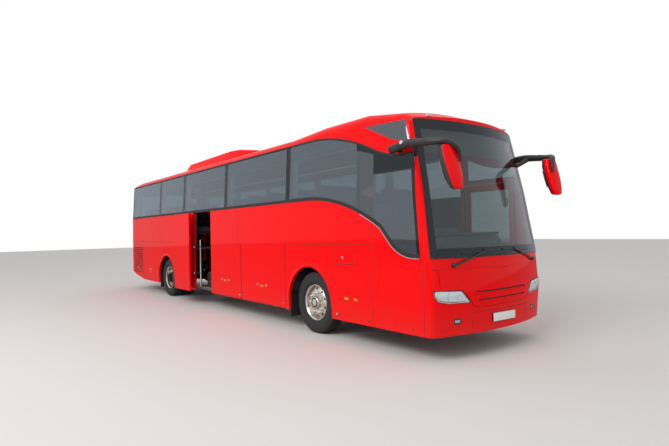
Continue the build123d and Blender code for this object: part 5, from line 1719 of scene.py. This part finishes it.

# %% [markdown]
# Last come the mud flaps behind the wheels, dark strips of painted shade in the gaps of the
# engine louvres, and a row of small plugs along the sill where jacks and hooks go.

# %% Mud flaps and louvres
# ahead of the axle and the inner edge, out from the middle
MUD_FLAPS = ((-0.7, 0.93), (-7.562, 0.62))
FLAP_FOOT, FLAP_RIBS = 0.2, 5
LOUVRES, LOUVRE_PITCH = 13, 0.062
LOUVRE_FRAME = ((-8.95, 0.47), (-8.95, 1.39), (-9.91, 1.39), (-9.91, 0.52))
PLUGS = {RIGHT: (-8.6, -8.9, 0.75, 1.45, 2.3), LEFT: (-8.6, -5.9, 0.75, 1.45, 2.3)}
flaps = []
for side in (RIGHT, LEFT):
    for place, inner_y in MUD_FLAPS:
        low_y, high_y = sorted((side * inner_y, side * 1.22))
        x = FRONT_AXLE + place
        flaps.append(rounded_box((x - 0.004, low_y, FLAP_FOOT), (x + 0.004, high_y, 0.62), 0.003))
        for k in range(FLAP_RIBS):
            y = low_y + (high_y - low_y) * (k + 0.5) / FLAP_RIBS
            flaps.append(
                rounded_box((x + 0.003, y - 0.008, FLAP_FOOT + 0.03), (x + 0.008, y + 0.008, 0.56), 0.002)
            )
piece("mud_flaps", join(*flaps), "rubber")
shadows = []
for side in (RIGHT, LEFT):
    for row in range(LOUVRES):
        z = 0.549 + row * LOUVRE_PITCH
        # painted shade: a flat dark strip in the rubber finish stands for the shade in each louvre gap
        shadows.append(side_ribbon(along((-9.83, z), (-9.01, z), 2), side, 0.02, 0.0012))
    shadows.append(side_ribbon(LOUVRE_FRAME, side, SEAM_WIDTH, SEAM_RISE))
piece("louvre_shadows", join(*shadows), "rubber")
plugs = [lock(x, 0.4, side, 0.011) for side in (RIGHT, LEFT) for x in PLUGS[side]]
piece("sill_plugs", join(*plugs), "black_plastic")
print("mud flaps and louvres fitted")

# %% [markdown]
# A plain pale floor and soft studio light stand in for the overcast day. The sky gives a
# gentle light, and it looks white to the camera, to gloss and through glass.


# %% Floor, backdrop and light
def plain_stage():
    """Large pale floor under the coach."""
    material, _, shader = new_material("pale_floor", Roughness=0.9)
    shader.inputs["Base Color"].default_value = to_linear("D9D6D2")
    mesh = bpy.data.meshes.new("floor")
    reach = 60
    mesh.from_pydata([(x, y, 0) for x, y in rectangle(-reach, -reach, reach, reach)], [], [(0, 1, 2, 3)])
    floor = bpy.data.objects.new("floor", mesh)
    bpy.context.collection.objects.link(floor)
    mesh.materials.append(material)


def sky():
    """Pale world light, plain white where it is seen."""
    world = bpy.data.worlds.new("overcast")
    bpy.context.scene.world = world
    world.use_nodes = True
    tree = world.node_tree
    tree.nodes.clear()
    light = add_node(tree, "ShaderNodeBackground", {"Color": to_linear("F4F6FA"), "Strength": 0.75})
    white = add_node(tree, "ShaderNodeBackground", {"Color": (1, 1, 1, 1), "Strength": 1.0})
    path = add_node(tree, "ShaderNodeLightPath")
    seen = path.outputs["Is Camera Ray"]
    for kind in ("Is Glossy Ray", "Is Transmission Ray"):
        both = {0: seen, 1: path.outputs[kind]}
        seen = add_node(tree, "ShaderNodeMath", both, operation="MAXIMUM").outputs[0]
    choice = add_node(tree, "ShaderNodeMixShader", {"Fac": seen, 1: light.outputs[0], 2: white.outputs[0]})
    add_node(tree, "ShaderNodeOutputWorld", {"Surface": choice.outputs[0]})


def softbox(name, place, target, size, power):
    """Rectangular area light, aimed at a point."""
    data = bpy.data.lights.new(name, "AREA")
    data.shape = "RECTANGLE"
    data.size = size[0]
    data.size_y = size[1]
    data.energy = power
    lamp = bpy.data.objects.new(name, data)
    bpy.context.collection.objects.link(lamp)
    aim = Vector(target) - Vector(place)
    lamp.matrix_world = Matrix.Translation(place) @ aim.to_track_quat("-Z", "Y").to_matrix().to_4x4()


bpy.context.scene.view_settings.view_transform = "Standard"
plain_stage()
sky()
softbox("key", (6, -14, 11), (0, 0, 1.5), (12, 6), 1500)
print("stage set")
